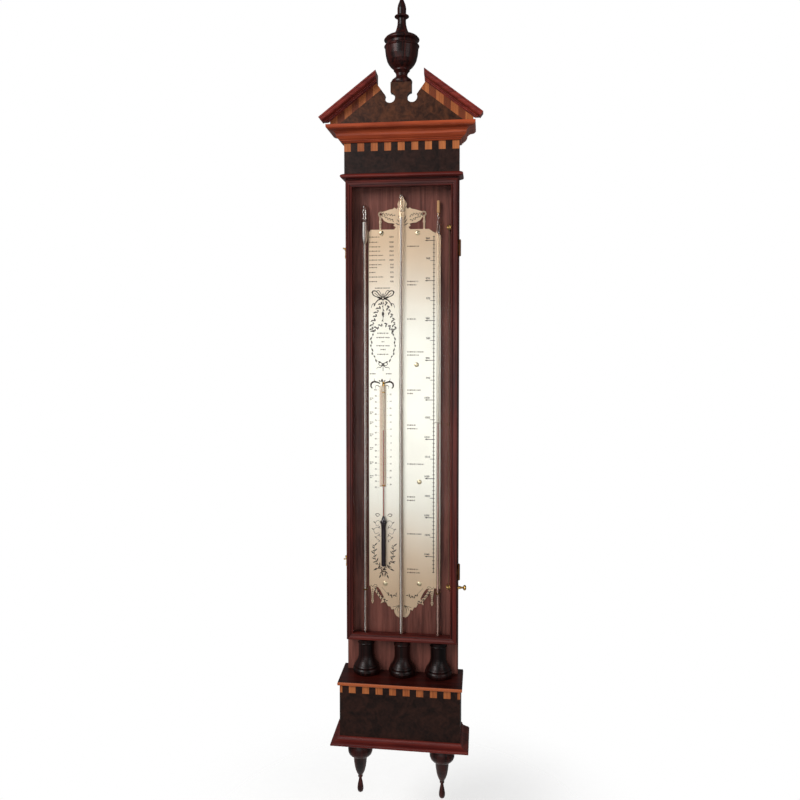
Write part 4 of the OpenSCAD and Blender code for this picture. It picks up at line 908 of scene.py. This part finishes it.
class BAROMETER_OT_plate_edges(BarometerTask):
    """Finish the plate and engrave the leaf chains of its crest and of the swags under it."""

    bl_idname = "barometer.plate_edges"
    bl_label = "Finish the plate"

    middle = -0.5

    def chains(self, graver, top, foot):
        m = self.middle
        for sign in (-1, 1):
            def spot(points, base):
                return [(m + sign * x, base + z) for x, z in points]
            festoon = curve_through(spot([(34, 23.4), (28, 20.6), (21.5, 17), (15, 14.4)], top))
            upper = curve_through(spot([(32, 25.4), (25, 23.8), (18, 23.2), (12, 21)], top))
            for route in (festoon, upper):
                graver.trail(route, 2.2, 3.2, 1.5, 36, berries=False)
            for link in range(7):
                graver.leaf(m + sign * 34.4, top + 2 + link * 2.7, 90, 2.2, 1.3)
            graver.ring(m + sign * 34, top + 24, 3.1, 0.6, 16)
            for ray, length in ((62, 14), (74, 19), (50, 9)):
                turn = math.radians(ray)
                start = (m + sign * 4 * math.cos(turn), top + 24 + 4 * math.sin(turn))
                end = (m + sign * length * math.cos(turn), top + 24 + length * math.sin(turn))
                graver.stroke([start, end], 0.8, lambda t: 1.1 - 0.7 * t)
            for ray in (0, 20, 40):
                graver.leaf(m + sign * 3, top + 6 + ray * 0.2, 90 - sign * (62 - ray), 8.5, 1.5)
            arm = curve_through(spot([(46, -2.6), (42, -7.4), (38, -12.6), (34, -17.8), (30, -22),
                                      (24, -24.6)], foot))
            graver.trail(arm, 2.8, 4.4, 1.9, 40)
            drop = curve_through(spot([(47.7, -3), (47.6, -14), (47.8, -25)], foot))
            graver.chain(drop, 3.2, 2.6, 1.2, 24, berries=False)
            inner = curve_through(spot([(33, -1), (27, -8), (20.5, -14), (14.5, -15.5), (9, -12.5)], foot))
            graver.stroke(inner, 0.4)
            graver.trail(inner[10:], 2.8, 3.8, 1.7, 44)
            for share_ in (0.0, 0.5, 1.0):
                fan = curve_through(spot([(3.2, -30), (7 + 5 * share_, -36 + 4 * share_),
                                          (6 + 9 * share_, -43 + 10 * share_)], foot))
                graver.stroke(fan, 0.9, lambda t: 1.1 - 0.7 * t)
            bow = curve_through(spot([(47.5, -1.2), (44, 2.2), (40.5, 1.4), (42.5, -1.2), (47.5, -1.6),
                                      (50.5, 1.4)], foot))
            graver.stroke(bow, 0.55)

    def execute(self, context):
        metals = context.scene.barometer_metals
        finish(scale_brass(metals), "scale_plate")
        graver = Graver(plate_front())
        self.chains(graver, -110.0, -678.0)
        graver.finished("edge_leaf_chains", wax("edge_wax", tuple(metals.engraving)), slot="engraved_brass")
        return {"FINISHED"}


class BAROMETER_OT_thermometer(BarometerTask):
    """Finish the thermometer and engrave its two scales."""

    bl_idname = "barometer.thermometer"
    bl_label = "Finish the thermometer"

    first_z = -364.0
    last_z = -513.0

    def execute(self, context):
        glass = context.scene.barometer_glass
        metals = context.scene.barometer_metals
        finish(smooth_ivory(tuple(glass.ivory)), "thermometer_plate")
        finish(clear_glass("thermometer_glass", tuple(glass.tube_glass)), "thermometer_tube")
        finish(tinted_liquid("thermometer_spirit", tuple(glass.spirit)), "thermometer_spirit")
        finish(glossy_guard(tuple(glass.guard)), "thermometer_guard")
        finish(polished_metal("clip_brass", tuple(metals.brass)), "thermometer_clips")
        smooth(35, "thermometer_tube", "thermometer_spirit", "thermometer_guard")
        low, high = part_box("thermometer_plate")
        ivory_front = low.y - ENGRAVING_PROUD
        tube_x = (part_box("thermometer_tube")[0].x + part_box("thermometer_tube")[1].x) / 2 / MM
        left, right = low.x / MM, high.x / MM
        red, black = Graver(ivory_front), Graver(ivory_front)
        rows = 76
        for row in range(rows + 1):
            z = self.first_z + (self.last_z - self.first_z) * row / rows
            long_mark = row % 5 == 0
            red.line((left + 0.5, z), (left + (3.0 if long_mark else 1.9), z), 0.34)
            black.line((right - (2.2 if long_mark else 1.3), z + 0.3), (right - 0.35, z + 0.3), 0.3)
        red.line((left + 3.4, self.first_z + 3), (left + 3.4, self.last_z - 2), 0.3)
        black.line((left + 0.2, -515.6), (right - 0.2, -515.6), 0.8)
        red.finished("ivory_red_marks", wax("red_wax", tone(172, 74, 62)), slot="ivory")
        black.finished("ivory_black_marks", wax("brown_wax", tone(112, 52, 44)), slot="ivory")
        figures = Graver(plate_front())
        for row in range(17):
            z = -363.4 - row * 9.75
            figures.numbers(str(abs(100 - 5 * row)), -41.0, z, 3.2)
            figures.line((-40.2, z + 0.9), (-37.0, z + 0.9), 0.24)
        for row in range(14):
            z = -370.6 - row * 11.05
            figures.numbers(str(abs(35 - 5 * row)), -17.4, z, 3.2)
            figures.line((-24.6, z + 0.9), (-22.6, z + 0.9), 0.24)
        for z in (-375.6, -397.9, -413.9, -433.1, -455.0, -478.0, -500.0):
            figures.dashes(-51.8, z, 5.2, 1.4, 0.5)
            figures.dashes(-51.8, z - 2.6, 3.6, 1.2, 0.5)
        figures.finished(
            "thermometer_figures", wax("figure_wax", tuple(metals.engraving_soft)), slot="engraved_brass")
        if not left < tube_x < right:
            raise RuntimeError("the thermometer's tube isn't over its plate")
        return {"FINISHED"}


class BAROMETER_OT_tubes(BarometerTask):
    """Finish the glass tubes, the mercury, the liquid, the cork and the cistern."""

    bl_idname = "barometer.tubes"
    bl_label = "Fill the tubes"

    def execute(self, context):
        glass = context.scene.barometer_glass
        woods = context.scene.barometer_woods
        finish(clear_glass("tube_glass", tuple(glass.tube_glass)), "contra_tube", "barometer_tube")
        finish(bright_mercury(), "contra_mercury", "barometer_mercury")
        finish(tinted_liquid("tinted_oil", tuple(glass.liquid), 0.3), "contra_liquid")
        finish(pressed_cork(tuple(glass.cork)), "cork_stopper")
        boxwood = straight_wood("boxwood", tone(150, 104, 62), tone(196, 150, 98), "Z", woods.coat * 0.3, 0.5)
        finish(boxwood, "cistern_cup", "cistern_lid")
        finish(straight_wood("bearer_wood", *grains(woods, "frame"), "X"), "tube_bearers")
        smooth(35, "contra_tube", "barometer_tube", "contra_mercury", "barometer_mercury", "contra_liquid",
               "cork_stopper", "cistern_cup", "cistern_lid")
        return {"FINISHED"}


class BAROMETER_OT_brass(BarometerTask):
    """Finish the brass and bronze, and lay a dark strip of painted shade over the crown of each plate screw where
    its slot lies.
    """

    bl_idname = "barometer.brass"
    bl_label = "Finish the brass"

    slot_width = 0.75
    slot_turns = (20, 70, 115, 40, 95, 150)

    def slots(self, metals):
        """A dark strip across the crown of each plate screw: painted shade standing for the shaded recess of its
        slot, which is not cut.
        """
        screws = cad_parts["brass_screws"].data
        plate_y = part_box("scale_plate")[0].y
        heads = self.heads(screws, plate_y)
        reach = (heads[0][1] - 0.3 * MM) / MM
        points, faces = [], []
        for (x, radius, z, profile), degrees in zip(heads, self.slot_turns):
            turn = math.radians(degrees)
            ahead, side = (math.cos(turn), math.sin(turn)), (-math.sin(turn), math.cos(turn))
            first = len(points)
            steps = 8
            for i in range(steps + 1):
                run = (i / steps * 2 - 1) * reach * MM
                height = plate_y - profile(abs(run) / radius) - 0.03 * MM
                for half in (-1, 1):
                    across = half * self.slot_width / 2 * MM
                    over, up = (ahead[k] * run + side[k] * across for k in (0, 1))
                    points.append((x + over, height, z + up))
            faces += [tuple(first + 2 * i + k for k in (0, 2, 3, 1)) for i in range(steps)]
        # Painted shade: a flat dark strip on each crown stands for the slot's shadowed recess.
        mesh = bpy.data.meshes.new("screw_slots")
        mesh.from_pydata(points, [], faces)
        mesh.update()
        piece("screw_slots", mesh, wax("slot_shadow", tuple(metals.engraving)))

    @staticmethod
    def heads(mesh, plate_y):
        """Each plate screw's place, head radius and the crown's height by its share of the radius."""
        def crown(share_):
            steps = ((0.0, 1.6), (0.45, 1.5), (0.8, 1.1), (1.0, 0.5))
            for (s0, h0), (s1, h1) in zip(steps, steps[1:]):
                if share_ <= s1:
                    return (h0 + (h1 - h0) * (share_ - s0) / (s1 - s0)) * MM
            return steps[-1][1] * MM
        spots = {}
        for vertex in mesh.vertices:
            if vertex.co.y < plate_y - 1.55 * MM:
                spots.setdefault((round(vertex.co.x, 3), round(vertex.co.z, 3)), []).append(vertex.co)
        if len(spots) < 6:
            raise RuntimeError("six screw crowns stand on the plate, but fewer were found")
        return [(x, 3.6 * MM, z, crown) for x, z in sorted(spots, key=lambda spot: (-spot[1], spot[0]))][:6]

    def execute(self, context):
        metals = context.scene.barometer_metals
        brass = polished_metal("lacquered_brass", tuple(metals.brass))
        finish(brass, "hanger_plate", "spindle_bush", "idler_stud", "knob_spindle", "hook_pins", "hook_pivots",
               "hook_upper", "hook_lower")
        finish(polished_metal("screw_brass", tone(244, 228, 190), 0.3, 0.12), "brass_screws")
        finish(polished_metal("dull_brass", tone(128, 94, 60), 0.4, 0.4), "tube_staples", "pointer")
        bright = polished_metal("pulley_brass", tone(226, 188, 118), 0.26, 0.2)
        finish(bright, "drive_pulley", "idler_pulley")
        finish(polished_metal("hinge_bronze", tuple(metals.bronze), 0.4, 0.5, "Z"),
               "hinge_case_leaves", "hinge_door_leaves", "hinge_pins")
        finish(twisted_cord(), "cord_loop")
        smooth(30, "brass_screws", "knob_spindle", "drive_pulley", "idler_pulley", "cord_loop", "spindle_bush",
               "idler_stud", "hook_pins", "hook_pivots")
        self.slots(metals)
        return {"FINISHED"}


class BAROMETER_OT_pane(BarometerTask):
    """Glaze the door."""

    bl_idname = "barometer.pane"
    bl_label = "Glaze the door"

    def execute(self, context):
        finish(pane_glass(context.scene.barometer_glass.pane_alpha), "door_glass")
        return {"FINISHED"}


class BAROMETER_OT_stage(BarometerTask):
    """Set up the pale floor, the soft lights, the room's light and the camera."""

    bl_idname = "barometer.stage"
    bl_label = "Set the stage"

    camera_place = (0.12705, -1.23751, -0.25728)
    camera_turn = (7.46, -2.54, -0.07)
    camera_shift = (0.0225, -0.0525)
    lights = (
        ("key_light", "key_power", (-1.55, -2.0, 0.95), (0.0, 0.0, -0.35), (1.1, 1.5)),
        ("fill_light", "fill_power", (1.7, -1.6, 0.1), (0.0, 0.0, -0.4), (1.0, 1.6)),
        ("soft_panel", "panel_power", (-0.26, -2.5, -0.66), (-0.26, 0.0, -0.66), (2.0, 1.0)),
    )

    def light(self, name, power, place, aim, sides):
        data = bpy.data.lights.new(name, "AREA")
        data.shape = "RECTANGLE"
        data.size, data.size_y = sides
        data.energy = power
        lamp = bpy.data.objects.new(name, data)
        lamp.location = place
        lamp.rotation_euler = (Vector(aim) - Vector(place)).to_track_quat("-Z", "Y").to_euler()
        bpy.context.collection.objects.link(lamp)

    def camera(self, lens):
        data = bpy.data.cameras.new("camera")
        data.lens, data.sensor_width = lens, 36
        data.shift_x, data.shift_y = self.camera_shift
        camera = bpy.data.objects.new("camera", data)
        bpy.context.collection.objects.link(camera)
        yaw, pitch, roll = map(math.radians, self.camera_turn)
        ahead = Vector((-math.sin(yaw) * math.cos(pitch), math.cos(yaw) * math.cos(pitch), math.sin(pitch)))
        camera.location = self.camera_place
        camera.rotation_mode = "QUATERNION"
        camera.rotation_quaternion = ahead.to_track_quat("-Z", "Y") @ Matrix.Rotation(roll, 3, "Z").to_quaternion()
        bpy.context.scene.camera = camera

    def floor(self, radius, height):
        """A pale disc that fades out towards its edge."""
        rings, sides = 12, 72
        points = [(0.0, 0.0, height)]
        faces = []
        for ring in range(1, rings + 1):
            reach = radius * ring / rings
            points += [(reach * math.cos(math.tau * i / sides), reach * math.sin(math.tau * i / sides), height)
                       for i in range(sides)]
        faces += [(0, 1 + i, 1 + (i + 1) % sides) for i in range(sides)]
        for ring in range(rings - 1):
            a, b = 1 + ring * sides, 1 + (ring + 1) * sides
            faces += [(a + i, b + i, b + (i + 1) % sides, a + (i + 1) % sides) for i in range(sides)]
        mesh = bpy.data.meshes.new("floor")
        mesh.from_pydata(points, [], faces)
        mesh.update()
        shader = Shader("pale_floor")
        x, y, _ = shader.axes(shader.place())
        grain = shader.noise(shader.place(), 40, 3)
        shader.set(
            Base_Color=shader.blend(grain, tone(244, 243, 241), tone(252, 252, 251)), Roughness=0.85,
            Emission_Color=(1.0, 1.0, 1.0), Emission_Strength=0.45)
        reach = (x * x + y * y) ** 0.5
        fade = reach.step(radius * 0.15, radius * 0.97)
        clear = shader.node("ShaderNodeBsdfTransparent")
        surface = Value(shader, shader.surface.outputs[0])
        mixed = shader.node("ShaderNodeMixShader", sockets={0: fade})
        links = shader.tree.links
        links.new(surface.socket, mixed.socket.node.inputs[1])
        links.new(clear.socket, mixed.socket.node.inputs[2])
        links.new(mixed.socket, shader.output.inputs["Surface"])
        disc = bpy.data.objects.new("floor", mesh)
        mesh.materials.append(shader.material)
        bpy.context.collection.objects.link(disc)

    def world(self, power):
        """White behind the barometer, and even light on it."""
        world = bpy.data.worlds.new("studio")
        bpy.context.scene.world = world
        world.use_nodes = True
        tree = world.node_tree
        room = tree.nodes["Background"]
        room.inputs["Color"].default_value = (1, 1, 1, 1)
        room.inputs["Strength"].default_value = power
        backdrop = tree.nodes.new("ShaderNodeBackground")
        backdrop.inputs["Color"].default_value = (1, 1, 1, 1)
        path = tree.nodes.new("ShaderNodeLightPath")
        mix = tree.nodes.new("ShaderNodeMixShader")
        tree.links.new(path.outputs["Is Camera Ray"], mix.inputs[0])
        tree.links.new(room.outputs[0], mix.inputs[1])
        tree.links.new(backdrop.outputs[0], mix.inputs[2])
        tree.links.new(mix.outputs[0], tree.nodes["World Output"].inputs["Surface"])

    def execute(self, context):
        stage = context.scene.barometer_stage
        context.scene.view_settings.view_transform = "Standard"
        self.camera(stage.lens)
        for name, power, place, aim, sides in self.lights:
            self.light(name, getattr(stage, power), place, aim, sides)
        self.floor(stage.floor_radius, stage.floor_z)
        self.world(stage.world_power)
        return {"FINISHED"}


TASKS = (
    BAROMETER_OT_case,
    BAROMETER_OT_veneers,
    BAROMETER_OT_turnings,
    BAROMETER_OT_plate_edges,
    BAROMETER_OT_pressure_scale,
    BAROMETER_OT_table,
    BAROMETER_OT_ornament,
    BAROMETER_OT_thermometer,
    BAROMETER_OT_tubes,
    BAROMETER_OT_brass,
    BAROMETER_OT_pane,
    BAROMETER_OT_stage,
)


class BAROMETER_PT_sidebar(Panel):
    """Lists the barometer's settings and tasks."""

    bl_idname = "BAROMETER_PT_sidebar"
    bl_label = "Barometer"
    bl_space_type = "VIEW_3D"
    bl_region_type = "UI"
    bl_category = "Barometer"

    def draw(self, context):
        layout = self.layout
        for task in TASKS:
            layout.operator(task.bl_idname)
        for holder in SETTINGS:
            box = layout.box()
            settings = getattr(context.scene, holder)
            for name in settings.__annotations__:
                box.prop(settings, name)


SETTINGS = {
    "barometer_woods": BarometerWoods,
    "barometer_metals": BarometerMetals,
    "barometer_glass": BarometerGlass,
    "barometer_scale": BarometerScale,
    "barometer_stage": BarometerStage,
}


def register():
    for kind in (*SETTINGS.values(), *TASKS, BAROMETER_PT_sidebar):
        bpy.utils.register_class(kind)
    for holder, kind in SETTINGS.items():
        setattr(bpy.types.Scene, holder, PointerProperty(type=kind))


def unregister():
    for holder in SETTINGS:
        delattr(bpy.types.Scene, holder)
    for kind in reversed((*SETTINGS.values(), *TASKS, BAROMETER_PT_sidebar)):
        bpy.utils.unregister_class(kind)


def main():
    register()
    bpy.ops.barometer.case()
    bpy.ops.barometer.veneers()
    bpy.ops.barometer.turnings()
    bpy.ops.barometer.plate_edges()
    bpy.ops.barometer.pressure_scale()
    bpy.ops.barometer.table()
    bpy.ops.barometer.ornament()
    bpy.ops.barometer.thermometer()
    bpy.ops.barometer.tubes()
    bpy.ops.barometer.brass()
    bpy.ops.barometer.pane()
    bpy.ops.barometer.stage()


if __name__ == "__main__":
    main()
